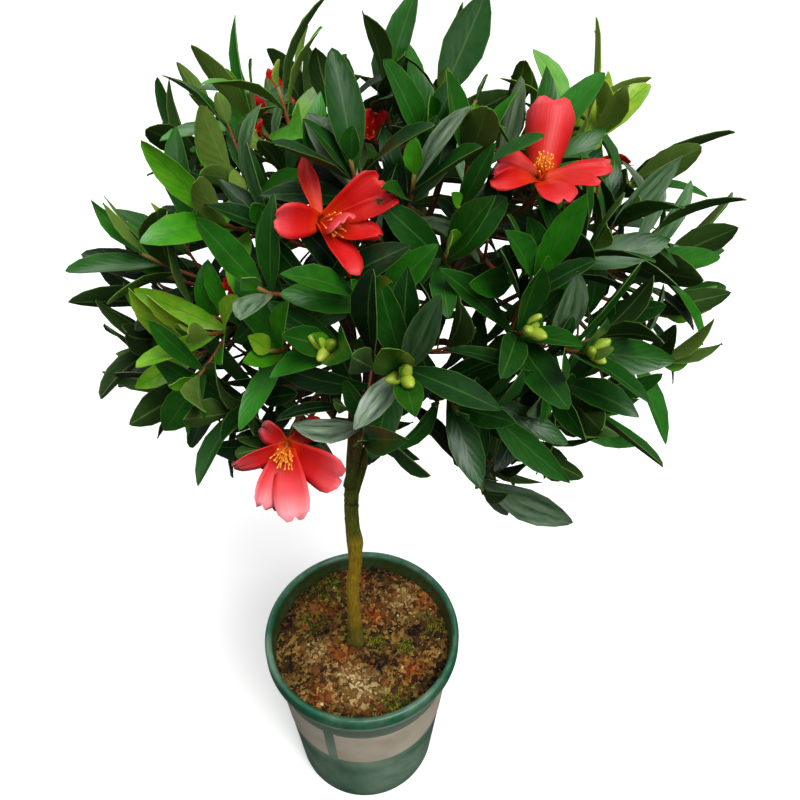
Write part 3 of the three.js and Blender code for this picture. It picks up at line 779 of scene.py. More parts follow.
def smooth_through(corners, steps=12):
    """A centripetal spline through all its corners."""
    corners = [Vector(corner) for corner in corners]
    padded = [corners[0] * 2 - corners[1], *corners, corners[-1] * 2 - corners[-2]]
    points = [corners[0]]
    for p0, p1, p2, p3 in zip(padded, padded[1:], padded[2:], padded[3:]):
        d0, d1, d2 = (math.sqrt((b - a).length) for a, b in ((p0, p1), (p1, p2), (p2, p3)))
        m1 = ((p1 - p0) / d0 - (p2 - p0) / (d0 + d1) + (p2 - p1) / d1) * d1
        m2 = ((p2 - p1) / d1 - (p3 - p1) / (d1 + d2) + (p3 - p2) / d2) * d1
        for i in range(1, steps + 1):
            t = i / steps
            points.append(
                p1 * (2 * t ** 3 - 3 * t ** 2 + 1) + m1 * (t ** 3 - 2 * t ** 2 + t)
                + p2 * (3 * t ** 2 - 2 * t ** 3) + m2 * (t ** 3 - t ** 2))
    return Line(points)


def direction_of(mass):
    return towards(*MASSES[mass][:2])


def limb_line(parent, share, mass):
    """A limb leaves its parent in a rising curve and comes into its mass along the mass's direction."""
    direction = direction_of(mass)
    start, end = parent.at(share), on_crown(direction, HEART)
    span = (end - start).length
    leaving = (parent.tangent(share) * 0.75 + (end - start).normalized() * 0.8).normalized()
    arriving = (direction + UP * 0.35).normalized()
    return bezier(start, start + leaving * 0.38 * span, end - arriving * 0.3 * span, end)


lines = {"trunk": smooth_through(TRUNK_LINE)}
for name, (parent, share, mass, radius) in LIMBS.items():
    lines[name] = limb_line(lines[parent], share, mass)
wood = sum(line.length for line in lines.values())
print("trunk", round(lines["trunk"].length), "mm, trunk and boughs", round(wood), "mm")

# %% [markdown]
# ## Trunk and boughs
#
# A young camellia's bark is thin and smooth: tan with an olive bloom low down, greener above the old graft
# swelling, browner on the boughs. It shows fine upright wrinkles, small warty pores, and slight rings where
# leaves once grew. A limb could be drawn as a curve with a round bevel, but that gives one perfect tube. We
# bend a subdivided cylinder along each line instead, so that every ring of it can swell, wrinkle and flare
# as it needs.

# %% Bend a cylinder along a line
def make_tube(sides, steps):
    """A closed cylinder of unit radius from z = 0 to 1, cut into rings."""
    def make(bm):
        bmesh.ops.create_cone(
            bm, cap_ends=True, segments=sides, radius1=1, radius2=1, depth=1,
            matrix=Matrix.Translation((0, 0, 0.5)))
        upright = [edge for edge in bm.edges if abs(edge.verts[0].co.z - edge.verts[1].co.z) > 0.5]
        bmesh.ops.subdivide_edges(bm, edges=upright, cuts=steps - 1)
    return template_of(make)


def frames_along(line, steps):
    """At each ring: its middle, and two directions across, carried along so that the tube isn't twisted."""
    east = across(line.tangent(0))[0]
    frames = []
    for i in range(steps + 1):
        tangent = line.tangent(i / steps)
        east = (east - tangent * east.dot(tangent)).normalized()
        frames.append((line.at(i / steps), east, tangent.cross(east)))
    return frames


def add_limb(bm, tube, line, steps, radius_at, tint_at=lambda share: 0):
    """Bends a copy of a tube along a line. radius_at is given the share of the way, the angle, the place."""
    fresh = fresh_copy(bm, tube)
    layer = bm.verts.layers.float["tint"]
    frames = frames_along(line, steps)
    for vert in fresh:
        share = vert.co.z
        middle, east, north = frames[round(share * steps)]
        angle = math.atan2(vert.co.y, vert.co.x)
        out = east * math.cos(angle) + north * math.sin(angle)
        rim_share = min(1, math.hypot(vert.co.x, vert.co.y))
        vert.co = middle + out * radius_at(share, angle, middle + out * 5) * rim_share
        vert[layer] = tint_at(share)

# %% [markdown]
# Bark is coloured by how old it is, and on this plant that follows the height: damp and mossy at the foot,
# tan on the old stock, olive green above the graft and brown on the boughs. A ramp over the height gives
# those ages, fine upright noise gives the wrinkles, and a sprinkle of small pale dots gives the pores.

# %% Smooth camellia bark
BARK_LOW = 0.205  # metres, the height at which the ramp starts
BARK_HIGH = 0.62

bark, tree = new_material("smooth_camellia_bark")
place = add_node(tree, "TexCoord").outputs["Object"]
height = add_node(tree, "SeparateXYZ", {"Vector": place}).outputs["Z"]
patchy = add_node(tree, "TexNoise", {"Vector": place, "Scale": 70.0, "Detail": 4.0})
wander = add_node(tree, "Math", {0: patchy, 1: 0.06, 2: height}, operation="MULTIPLY_ADD")
age = add_node(
    tree, "MapRange", {"Value": wander, "From Min": BARK_LOW + 0.03, "From Max": BARK_HIGH + 0.03})
bark_colour = add_node(
    tree, "ValToRGB", {"Fac": age}, [(0.0, "#4c5212"), (0.06, "#666018"), (0.14, "#8a7424"),
    (0.34, "#9c8234"), (0.44, "#a08a3c"), (0.52, "#6e7020"), (0.7, "#5a6418"), (0.86, "#6a5222"),
    (1.0, "#5e4822")])
streaked = add_node(tree, "Mapping", {"Vector": place, "Scale": (1, 1, 0.14)})
streaks = add_node(tree, "TexNoise", {"Vector": streaked, "Scale": 620.0, "Detail": 5.0})
lit = add_node(
    tree, "MapRange", {"Value": streaks, "From Min": 0.35, "From Max": 0.7, "To Min": -0.36,
    "To Max": 0.42})
weathered = add_node(tree, "BrightContrast", {"Color": bark_colour, "Contrast": 0.1})
shaded = add_node(
    tree, "HueSaturation", {"Color": weathered, "Value": add_node(tree, "Math", {0: lit, 1: 1.0},
    operation="ADD")})
pores = add_node(tree, "TexVoronoi", {"Vector": place, "Scale": 260.0, "Randomness": 1.0}, feature="F1")
dots = add_node(tree, "MapRange", {"Value": pores, "From Min": 0.24, "From Max": 0.14, "To Max": 0.45})
dotted = add_node(tree, "Mix", {"Factor": dots, "A": shaded, "B": linear("#a3936a")}, data_type="RGBA")
wrinkles = add_node(tree, "Bump", {"Height": streaks, "Strength": 0.6, "Distance": 0.0008})
warts = add_node(tree, "Bump", {"Height": dots, "Strength": 0.5, "Distance": 0.0006, "Normal": wrinkles})
shade(tree, Base_Color=dotted, Roughness=0.68, Normal=warts)

# %% The trunk, with its flare, graft and scars
TRUNK_SIDES = 28
TRUNK_STEPS = 120
ROOT_DEPTH = 6  # how far the foot goes down into the mix
SCARS = [(262, 2.2), (305, 5.0), (338, 0.8), (372, 3.6), (398, 1.4), (431, 5.4), (452, 2.9), (468, 0.3)]
trunk_line = lines["trunk"]


def trunk_radius(share, angle, place):
    down = share * trunk_line.length
    radius = along(TRUNK_RADII, share)
    radius *= 1 + 0.14 * math.exp(-down / 9) * math.sin(3 * angle + 0.7)
    radius += 0.55 * noise.noise(Vector((place.x / 7, place.y / 7, place.z / 26)))
    radius += 0.3 * noise.noise(Vector((place.x / 2.2, place.y / 2.2, place.z / 12)))
    for height, way in SCARS:
        ring = math.exp(-((place.z - height) / 1.6) ** 2)
        radius += ring * (0.25 + 0.75 * max(0, math.cos(angle - way)) ** 4)
    return radius


trunk_tube = make_tube(TRUNK_SIDES, TRUNK_STEPS)
bm = tinted_bmesh()
add_limb(bm, trunk_tube, trunk_line, TRUNK_STEPS, trunk_radius)
for vert in bm.verts:
    if vert.co.z < SOIL_LEVEL + 1:
        vert.co.z -= ROOT_DEPTH
as_piece("trunk_bark", bm, [bark], ["trunk"])

# %% The boughs, each with a collar where it leaves its parent
LIMB_SIDES = 10
LIMB_STEPS = 26
COLLAR = 0.45  # how much wider a bough is at its very start
COLLAR_LENGTH = 9


def bough_radius(radius, line, seed):
    def radius_at(share, angle, place):
        down = share * line.length
        own = mix(radius, LIMB_TIP_RADIUS, share)
        own *= 1 + COLLAR * math.exp(-down / COLLAR_LENGTH)
        ring = max(0, math.sin(down / 5.5 + seed)) ** 8
        lump = noise.noise(Vector((place.x / 5, place.y / 5, place.z / 9)))
        return own + 0.3 * ring + 0.35 * lump
    return radius_at


limb_tube = make_tube(LIMB_SIDES, LIMB_STEPS)
bm = tinted_bmesh()
for seed, (name, (parent, share, mass, radius)) in enumerate(LIMBS.items()):
    add_limb(bm, limb_tube, lines[name], LIMB_STEPS, bough_radius(radius, lines[name], seed))
as_piece("boughs", bm, [bark], limb_nodes)

# %% [markdown]
# ## Twigs and leaves: the rule
#
# On a camellia the leaves crowd into a loose rosette at the end of each shoot: the youngest stand nearly
# upright in the middle, and each older one leans further out, a golden turn round from the last. Below the
# rosette the shoot carries a few older leaves, and short side shoots with rosettes of their own fill the
# crown from within.
#
# The frame's solids have the main shoots, with fewer and larger leaves. Here every main shoot starts and
# ends where the solid's does unless that is in one of the crown's openings, and is carried on to finer
# twigs. A few more shoots fill places that the rule leaves bare. A leaf is only kept if it crosses no other
# leaf or twig, which is what the growing plant sees to as well.

# %% Stems and shoots
ANCHOR = 0.66
GAP = 0.3
STEM_RADIUS = 2.4
SHOOT_RADIUS = 2.1
SHOOT_TIP_RADIUS = 1.3
SHOOT_REACH = (0.72, 0.86)
SHOOT_ROOTS = (0.95, 0.2)
UPTURN = 0.42
ATTEMPTS = 5
# Towards the front the crown's underside rises, sooner where the fork stands: the place along Y from which
# it rises, and how steeply, each by the place along X.
SKIRT_STARTS = [(-400, -95), (-75, -95), (-50, -66), (30, -66), (55, -95), (400, -95)]
SKIRT_SLOPES = [(-400, 1), (95, 1), (150, 0), (400, 0)]
anchors = {mass: on_crown(direction_of(mass), ANCHOR) for mass in MASSES}


def is_in_reach(point, margin=0):
    """Inside the crown, and above its underside, which rises in front so that the fork shows."""
    share = Vector(a / b for a, b in zip(point - CROWN_CENTRE, CROWN_HALF)).length
    rise = along(SKIRT_SLOPES, point.x) * max(0, along(SKIRT_STARTS, point.x) - point.y)
    return share < OUTSIDE + margin and point.z > UNDERSIDE + rise


# Where the crown is open, as one eye in front of it sees it. These are places in that single view and not on
# the plant, and no rule of growth gives them. Each: how far to the right and up it appears, and its radius,
# in millimetres at a metre from the eye.
EYE = Vector(CAMERA_PLACE) / MM
SKY_GAPS = [
    (-146, 410, 25), (-69, 400, 27), (31, 388, 22), (35, 340, 15), (125, 375, 32), (85, 328, 17),
    (219, 360, 25), (310, 269, 40), (150, 262, 12), (-352, 215, 27), (-385, 152, 22), (-260, 108, 15),
    (-325, 325, 17), (-400, 75, 12), (62, -160, 17), (131, -231, 20), (275, -169, 25), (200, -194, 12),
    (-38, 312, 12), (-231, 381, 24), (-172, 360, 15), (50, 369, 20), (-294, 200, 20), (-362, 131, 18),
    (46, -140, 15), (-231, 119, 11), (-120, 340, 10), (10, 250, 9), (235, 160, 12),
]


def seen_at(point):
    """How far to the right and up a point appears, in millimetres at a metre."""
    out, down = point - EYE, math.radians(CAMERA_DOWN)
    ahead = out.y * math.cos(down) - out.z * math.sin(down)
    up = out.y * math.sin(down) + out.z * math.cos(down)
    return 1000 * out.x / ahead, 1000 * up / ahead


def is_in_gap(point, margin=0):
    right, up = seen_at(point)
    return any(math.hypot(right - x, up - y) < radius + margin for x, y, radius in SKY_GAPS)


def is_in_space(mass, point):
    """Nearer to its own mass's middle than to any other's."""
    own = anchors[mass]
    return is_in_reach(point) and all(
        (point - own).dot((other - own).normalized()) < (other - own).length / 2 - GAP
        for name, other in anchors.items() if name != mass)


def stem_of(mass):
    direction = direction_of(mass)
    return Line([on_crown(direction, HEART), on_crown(direction, STEM_END)])


def arriving_line(root, tip, facing):
    """A twig that comes to its tip the way that the tip faces."""
    return bezier(root, tip - facing * 0.5 * (tip - root).length, tip, steps=10)


def shoot_of(mass, index, attempt):
    """A mass's shoots fan out from its stem like the seeds of a sunflower, and turn up towards the light."""
    bearing, elevation, fan, shoots, seed, _ = MASSES[mass]
    outness = math.sqrt(index / shoots)
    turn = GOLDEN_TURN * index + 360 * chance(seed, 1) + 9 * attempt
    direction = fanned(towards(bearing, elevation), fan * outness * (1 - 0.08 * attempt), turn)
    root = stem_of(mass).at(mix(*SHOOT_ROOTS, outness))
    tip = on_crown(direction, mix(*SHOOT_REACH, chance(seed, 2, index)))
    facing = (direction + UP * UPTURN * (1 + direction.z)).normalized()
    return arriving_line(root, tip, facing)


def is_clear_of_limbs(line):
    """No point of a twig inside a limb."""
    for name in LIMBS:
        radius = LIMBS[name][3]
        for point in line.points[2:]:
            if any((point - other).length < radius + SHOOT_RADIUS for other in lines[name].points[::2]):
                return False
    return True

# %% [markdown]
# ## One leaf
#
# The leaf is leathery, narrow at the stalk, widest past its middle and bluntly pointed. It is folded a
# little along the midrib and bends down as it ages. We model it once, flat, from a small grid that is given
# a thickness, with its rim edges kept sharp. Each leaf of the plant is a copy whose corners are moved onto
# its own bent, folded and twisted form. Two faces across and eight along are enough, because a crown has
# hundreds.

# %% The flat leaf
LEAF_ROWS = 8
LEAF_THICKNESS = 0.5
WIDEST = 0.55  # the share of the length at which the blade is widest
TIPS = (0.5, 0.95)  # how pointed a leaf's tip is, and lower is rounder
STALK_WIDTH = 0.09  # as a share of the blade's width


def flat_blade(bm, columns, rows, place_of):
    """A leaf or petal laid flat: from -1 to 1 across X, from foot to tip along Y, its back at z = -1."""
    bm.loops.layers.uv.new("UVMap")
    bmesh.ops.create_grid(bm, x_segments=columns, y_segments=rows, size=1, calc_uvs=True)
    for vert in bm.verts:
        vert.co.y = place_of((vert.co.y + 1) / 2)
    bmesh.ops.solidify(bm, geom=bm.faces[:], thickness=1)
    bmesh.ops.recalc_face_normals(bm, faces=bm.faces)
    top = max(vert.co.z for vert in bm.verts)
    for vert in bm.verts:
        vert.co.z = 0 if abs(vert.co.z - top) < 0.5 else -1


def make_leaf(bm):
    """A flat leaf, its rows closer at both ends, its back of another material, and its rim kept sharp."""
    flat_blade(bm, 2, LEAF_ROWS, lambda share: (1 - math.cos(math.pi * share)) / 2)
    for face in bm.faces:
        face.material_index = 1 if face.normal.z < -0.5 else 0
        if abs(face.normal.z) < 0.5:
            for edge in face.edges:
                edge.smooth = False


def leaf_outline(t, tip):
    """The blade's half width at a share of its length, from 0 to 1."""
    swell = math.sin(math.pi * t ** (math.log(0.5) / math.log(WIDEST)))
    return max(swell, 0) ** mix(1.0, tip, t) * (1 - STALK_WIDTH) + STALK_WIDTH * (1 - t ** 3)


def blade_frame(blade, t, twist):
    """At a share of a leaf's or petal's length: its middle, and its own ways out and over."""
    length, bend = blade["length"], blade["bend"] or 1e-6
    forward, drop = math.sin(bend * t) / bend, (1 - math.cos(bend * t)) / bend
    ahead, up, side = blade["direction"], blade["normal"], blade["side"]
    middle = blade["base"] + ahead * length * forward - up * length * drop
    local_up = up * math.cos(bend * t) + ahead * math.sin(bend * t)
    out = side * math.cos(twist) + local_up * math.sin(twist)
    over = local_up * math.cos(twist) - side * math.sin(twist)
    return middle, out, over


def leaf_point(leaf, a, t, lift=0):
    """A point of a leaf: a is -1 to 1 across, t is 0 to 1 along, and lift is out of its upper face."""
    middle, out, over = blade_frame(leaf, t, leaf["twist"] * t)
    half = leaf_outline(t, leaf["tip"]) * leaf["width"] / 2
    rise = half * leaf["fold"] * abs(a) + leaf["wave"] * abs(a) * math.sin(9 * t + 2 * a + leaf["seed"])
    return middle + out * half * a + over * (rise + lift)


def blade_tree(point_at):
    """A coarse copy of a leaf or petal, without its stalk, for telling whether it crosses something."""
    rows = (0.17, 0.4, 0.65, 0.88, 1.0)
    points = [point_at(a, t) for t in rows for a in (-1, 0, 1)]
    faces = [(k, k + 1, k + 4, k + 3) for row in range(4) for k in (3 * row, 3 * row + 1)]
    return BVHTree.FromPolygons(points, faces)


def twig_tree(line, radius):
    """A thin three-sided copy of a twig, for the same purpose."""
    points, faces = [], []
    for i, (middle, east, north) in enumerate(frames_along(line, 5)):
        points += [middle + (east * math.cos(a) + north * math.sin(a)) * radius for a in (0, 2.09, 4.19)]
        if i:
            last, new = 3 * i - 3, 3 * i
            faces += [(last + k, last + (k + 1) % 3, new + (k + 1) % 3, new + k) for k in range(3)]
    return BVHTree.FromPolygons(points, faces)

# %% [markdown]
# To test a new leaf against all the others would be slow, so space is divided into boxes 80 mm wide, longer
# than any leaf. Whatever could cross a leaf lies in the box of its middle or one of the 26 around it.

# %% What has grown so far
BOX = 80
grown = {}


def boxes_round(point):
    home = [math.floor(value / BOX) for value in point]
    steps = (-1, 0, 1)
    return [(home[0] + i, home[1] + j, home[2] + k) for i in steps for j in steps for k in steps]


def keep(middle, tree):
    home = tuple(math.floor(value / BOX) for value in middle)
    grown.setdefault(home, []).append(tree)


def crosses(middle, tree):
    return any(tree.overlap(other) for box in boxes_round(middle) for other in grown.get(box, ()))


for name, line in lines.items():
    pieces = max(1, round(line.length / 60))
    for i in range(pieces):
        stretch = Line([line.at((i + j / 4) / pieces) for j in range(5)])
        keep(stretch.at(0.5), twig_tree(stretch, 3.2))

# %% [markdown]
# Twigs come first, the main shoots of all masses before any side shoot, so that leaves are grown round all
# the wood. Then every main rosette grows before the smaller ones behind it, because the outer leaves take
# the light and the inner ones the room that is left.

# %% Grow the twigs
# By a mass's name and a shoot's number: how much lighter or darker than its mass that spray is painted,
# painted light on the sprays that are lit or lit from behind, and painted shade on the shaded ones.
SPRAY_PAINTED_LIGHT = {
    ("front_left", 0): 0.16, ("front_left", 1): 0.2, ("upper_left", 0): 0.24, ("upper_left", 1): 0.2,
    ("upper_left", 2): 0.28, ("upper_left", 4): 0.16, ("upper_back_left", 4): 0.2,
    ("upper_side_right", 0): 0.48, ("upper_side_right", 2): 0.5, ("back_right", 4): 0.4,
    ("upper_back_left", 2): 0.34, ("front", 4): -0.2, ("front_low", 4): -0.15,
}
# And the share of its length that a shoot has made, where that is not all.
SHORT_SHOOTS = {
    ("upper_back_left", 1): 0.7, ("upper_back_left", 3): 0.6, ("upper_back_right", 1): 0.6,
    ("upper_back_right", 0): 0.75, ("upper_back_right", 3): 0.7, ("top", 4): 0.75, ("upper_right", 3): 0.85,
    ("upper_back_right", 2): 0.8, ("back_right", 4): 0.85,
}
BLOOM_MASSES = ("front_low", "upper_front", "upper_right", "back_right", "upper_back_left")
SIDE_SHOOTS = [(0.3, 54), (0.55, 46)]  # how far along a shoot each leaves it, and how steeply
HIGH = 40  # the elevation from which a mass has only one side shoot to a shoot, as light falls between them
SIDE_LENGTH = (30, 48)
# Each fills a place that the rule leaves bare: mass, bearing, elevation, share of the crown and
# painted light.
FILLING_SHOOTS = [
    ("left", -72, -12, 0.84, 0.25), ("left", -66, -24, 0.8, 0.3), ("front_left", -50, -24, 0.72, 0.3),
    ("right", 82, -9, 0.84, 0.5), ("upper_back_left", -120, 55, 0.78, 0.45),
]
FILLING_UPTURN = 0.05
FILLING_SEED = 60  # their seeds start here, past those of the mass's own shoots
twigs = []  # each: line, radius at its root, radius at its tip, youth at its root, youth at its tip
main_shoots = []  # each: line, seed, painted light


def add_twig(line, root_radius, tip_radius, root_youth, tip_youth):
    twigs.append((line, root_radius, tip_radius, root_youth, tip_youth))
    keep(line.at(0.5), twig_tree(line, 0.7 * tip_radius))


for mass, (bearing, elevation, fan, count, seed, painted_light) in MASSES.items():
    add_twig(stem_of(mass), STEM_RADIUS + 0.3, STEM_RADIUS, 0.05, 0.15)
    for index in range(1 if mass in BLOOM_MASSES else 0, count):
        for attempt in range(ATTEMPTS):
            line = shoot_of(mass, index, attempt)
            if all(is_in_space(mass, line.at(share)) for share in (0, 0.5, 1)) and is_clear_of_limbs(line):
                made = SHORT_SHOOTS.get((mass, index), 1)
                while made > 0.5 and is_in_gap(line.at(made), 8):
                    made -= 0.1
                line = Line([line.at(made * i / 10) for i in range(11)])
                add_twig(line, SHOOT_RADIUS, SHOOT_TIP_RADIUS, 0.15, 0.9)
                light = painted_light + SPRAY_PAINTED_LIGHT.get((mass, index), 0) + vary(-0.1, 0.1, seed, 40, index)
                main_shoots.append((line, seed * 100 + index, light))
                break
for number, (mass, bearing, elevation, share, light) in enumerate(FILLING_SHOOTS):
    direction = towards(bearing, elevation)
    tip = on_crown(direction, share)
    facing = (direction + UP * FILLING_UPTURN).normalized()
    line = arriving_line(stem_of(mass).at(0.5), tip, facing)
    add_twig(line, SHOOT_RADIUS, SHOOT_TIP_RADIUS, 0.15, 0.9)
    main_shoots.append((line, MASSES[mass][4] * 100 + FILLING_SEED + number, light))


def mass_of(seed):
    """The name of the mass that a main shoot belongs to."""
    return next(mass for mass, facts in MASSES.items() if facts[4] == seed // 100)


side_shoots = []
parents = {}  # by side shoot: the main shoot, and how far along it
for line, seed, painted_light in main_shoots:
    high = MASSES[mass_of(seed)][1] > HIGH
    for index, (share, lean) in enumerate(SIDE_SHOOTS[:1] if high else SIDE_SHOOTS):
        turn = GOLDEN_TURN * index + 360 * chance(seed, 20)
        out = fanned(line.tangent(share), lean + vary(-8, 8, seed, 21, index), turn)
        root = line.at(share)
        reach = vary(*SIDE_LENGTH, seed, 22, index)
        tip = root + (out + UP * 0.15).normalized() * reach
        if is_in_reach(tip, -0.12) and not is_in_gap(tip, 6):
            twig = arriving_line(root, tip, (out + UP * 0.35).normalized())
            if not crosses(tip, twig_tree(Line([twig.at(0.3), twig.at(0.65), twig.at(1)]), 1)):
                add_twig(twig, 1.4, 0.9, 0.3, 0.8)
                side_shoots.append((twig, seed * 10 + index, painted_light))
                parents[twig] = (line, share)
print(len(main_shoots), "main shoots and", len(side_shoots), "side shoots")

# %% Bend the twigs
TWIG_SIDES = 6
TWIG_STEPS = 8


def twig_radius(root_radius, tip_radius, length):
    def radius_at(share, angle, place):
        ring = 0.16 * max(0, math.sin(share * length / 2.6)) ** 6
        return mix(root_radius, tip_radius, share) + ring
    return radius_at


twig_tube = make_tube(TWIG_SIDES, TWIG_STEPS)

# %% [markdown]
# ## The blooms
#
# Each bloom has seven long petals, narrow at the foot and notched at the end, satin red with a pinker edge,
# and a brush of about forty orange stamens with golden tips. A petal is one grid again, cupped across, bent
# back along, and ruffled at its end. The blooms stand where the frame's solids have them. Three of them
# show what flowers of this kind do: one hangs with its petals long and pink, one has twisted its petals
# together, and one still holds a single petal rolled upright while the rest lie flat. A few smaller ones
# are half hidden among the leaves.

# %% Where each bloom stands and how it is open
PETALS = 7
PETAL_LENGTH = 46
PETAL_WIDTH = 17.5
PETAL_THICKNESS = 0.6
PETAL_COLUMNS, PETAL_ROWS = 6, 9
PETAL_FOOT = 0.48  # how wide its foot is, as a share of its width
PETAL_WIDEST = 0.7  # the share of its length at which a petal is widest
ROLLED_WIDEST = 0.9  # and one that is rolled back on itself, which has a cup below 0
PETAL_ROOT = 1.5  # how far behind and beside a bloom's heart its petals are rooted
CLEAR_ANGLE = 27  # no leaf grows within these degrees of the way that a bloom is seen from
CLEAR_REACH = 125  # up to this distance from a full-sized bloom, and less from a smaller one
SHOWN = 3  # this many blooms are kept clear towards the eye, and the rest towards where they face

# Each bloom: its mass, bearing, elevation and share of the crown, where it faces, its size, and for its
# petals how far they open, bend and twist, how pink they are, and the turn at which the first one stands.
BLOOMS = [
    ("front_low", -21, -7, 0.82, (0, 10), 1.0, 58, 14, 16, 0.5, 12),
    ("upper_front", -18.2, 42, 0.8, (42, 16), 1.0, 50, 50, 85, 0.25, 40),
    ("upper_right", 35.5, 47.5, 0.82, (0, 70), 1.0, 78, 12, 14, 0.3, 285),
    ("back_right", 126, 12, 0.82, (140, 30), 1.0, 62, 26, 14, 0.4, 0),
    ("upper_back_left", -147, 24, 0.84, (-160, 8), 0.85, 60, 26, 18, 0.5, 20),
    ("front_left", -43, 20, 0.6, (-40, 24), 0.5, 30, 14, 24, 0.3, 30),
    ("top", -18, 68, 0.68, (-30, 60), 0.42, 30, 10, 20, 0.15, 0),
    ("upper_left", -96, 50, 0.64, (-60, 60), 0.36, 26, 8, 20, 0.2, 50),
]

# The three blooms in front show what flowers of this kind do, petal by petal. Each petal: the bearing and
# elevation that it points to, its length and width, its bend and twist, its cup across, and how pink it is.
SHOWN_PETALS = {
    0: [
        (122, 16, 26, 16, 10, 40, 0.6, 0.3), (-120, 26, 19, 19, 0, 30, 0.5, 0.7),
        (-67, -8, 35, 17, 14, 40, 0.6, 0.65), (-22, -30, 42, 20, 16, 20, 0.5, 0.95),
        (-6, -46, 41, 17, 0, 0, 0.6, 0.3), (11, -31, 48, 24, 10, 10, 0.5, 1.0),
        (58, -9, 43, 28, 12, 12, 0.5, 0.6),
    ],
    1: [
        (-161, 51, 43, 13, -20, 140, 0.7, 0.1), (102, 34, 43, 24, 15, 25, 0.7, 0.15),
        (84, 20, 48, 13, 20, 90, 0.9, 0.1), (-46, 24, 34, 22, 30, 10, 0.6, 0.45),
        (36, 26, 30, 22, -12, 20, 0.7, 0.6), (66, -2, 38, 18, 10, 60, 0.8, 0.0),
        (31, -22, 42, 21, 20, 10, 0.6, 0.3),
    ],
    2: [
        (165, 44, 54, 50, -6, 0, -1.6, 0.42), (91, 11, 41, 15, 12, 10, 0.5, 0.3),
        (61, 9, 35, 14, 12, 20, 0.5, 0.25), (16, 2, 32, 23, 26, 5, 0.4, 0.35),
        (-71, 14, 31, 16, 12, 30, 0.6, 0.4), (-55, 15, 40, 15, 14, 90, 0.9, 0.1),
        (-122, 19, 29, 17, 10, 10, 0.5, 0.3),
    ],
}


def make_petal(bm):
    flat_blade(bm, PETAL_COLUMNS, PETAL_ROWS, lambda share: share)


def petal_outline(t, widest):
    """A petal's half width: narrow at the foot, widest well past its middle, and bluntly rounded."""
    if t < widest:
        return mix(PETAL_FOOT, 1, math.sin(math.pi / 2 * t / widest) ** 1.3)
    return max(0.0, 1 - ((t - widest) / (1.03 - widest)) ** 2.6) ** 0.5


def petal_point(petal, a, t, lift):
    """A point of a petal in the world, cupped, bent back, ruffled and notched."""
    notch = 1 - 0.06 * math.exp(-(a / 0.2) ** 2) * t ** 8
    t = t * notch
    middle, out, over = blade_frame(petal, t, petal["twist"] * t * t)
    half = petal_outline(t, ROLLED_WIDEST if petal["cup"] < 0 else PETAL_WIDEST) * petal["width"] / 2
    roll = petal["cup"] * a
    across_out = math.sin(roll) / petal["cup"] if petal["cup"] else a
    across_up = (1 - math.cos(roll)) / petal["cup"] if petal["cup"] else 0
    ruffle = petal["ruffle"] * t ** 3 * math.sin(4.5 * a + petal["seed"])
    ruffle += 0.5 * t * math.sin(13 * t + petal["seed"])
    return middle + out * half * across_out + over * (half * across_up + ruffle + lift)


def plan_petals(number, bloom, heart, facing):
    """The petals of one bloom round its heart."""
    size, openness, bend, twist, pink, start = bloom[5:]
    seed = 700 + number
    planned = []

    def add_petal(direction, normal, **own):
        planned.append({
            "base": heart - facing * PETAL_ROOT + direction * PETAL_ROOT, "direction": direction,
            "normal": normal, "side": direction.cross(normal), "seed": 6 * chance(seed, 14, len(planned)),
            **own})

    for i, shown in enumerate(SHOWN_PETALS.get(number, ())):
        to_tip = towards(*shown[:2])
        length, width, own_bend, own_twist, cup, tint = shown[2:]
        inward = (facing - to_tip * facing.dot(to_tip)).normalized()
        start_bend = math.radians(own_bend) / 2
        add_petal(
            to_tip * math.cos(start_bend) + inward * math.sin(start_bend),
            inward * math.cos(start_bend) - to_tip * math.sin(start_bend),
            length=length, width=width, bend=math.radians(own_bend), twist=math.radians(own_twist), cup=cup,
            ruffle=vary(0.8, 2.2, seed, 13, i), tint=tint)
    if planned:
        return planned
    for i in range(PETALS):
        untidy = 9 + 0.3 * twist
        open_by = openness + vary(-untidy, untidy, seed, 6, i)
        turn = start + 360 * i / PETALS + vary(-untidy, untidy, seed, 7, i)
        direction = fanned(facing, open_by, turn)
        normal = (facing - direction * facing.dot(direction)).normalized()
        add_petal(
            direction, normal, length=PETAL_LENGTH * size * vary(0.82, 1.08, seed, 8, i),
            width=PETAL_WIDTH * size * vary(0.85, 1.35, seed, 9, i),
            bend=math.radians(bend * vary(0.3, 1.7, seed, 10, i)),
            twist=math.radians(vary(-twist, twist, seed, 11, i)),
            cup=vary(0.3, 0.75 + twist / 70, seed, 12, i), ruffle=vary(0.6, 1.8, seed, 13, i) * size,
            tint=min(1, max(0, pink + vary(-0.15, 0.15, seed, 15, i) - 0.5 * direction.z)))
    return planned

# %% Plan the blooms, and keep their places clear
blooms = []  # each: size, heart, facing, its petals
for number, bloom in enumerate(BLOOMS):
    mass, bearing, elevation, share, faces, size = bloom[:6]
    facing = towards(*faces)
    heart = on_crown(towards(bearing, elevation), share)
    petals = plan_petals(number, bloom, heart, facing)
    stalk = arriving_line(stem_of(mass).at(0.6), heart, facing)
    add_twig(stalk, SHOOT_RADIUS, 1.8, 0.2, 0.6)
    blooms.append((size, heart, facing, petals))
    for petal in petals:
        keep(petal_point(petal, 0, 0.5, 0), blade_tree(lambda a, t: petal_point(petal, a, t, 0)))


def is_free(point):
    """Within the crown, in none of its openings, and not in front of a bloom."""
    for number, (size, heart, facing, _) in enumerate(blooms):
        out, sight = point - heart, EYE - heart if number < SHOWN else facing
        if 0 < out.length < CLEAR_REACH * size ** 3 and out.angle(sight) < math.radians(CLEAR_ANGLE):
            return False
    return is_in_reach(point) and not is_in_gap(point)

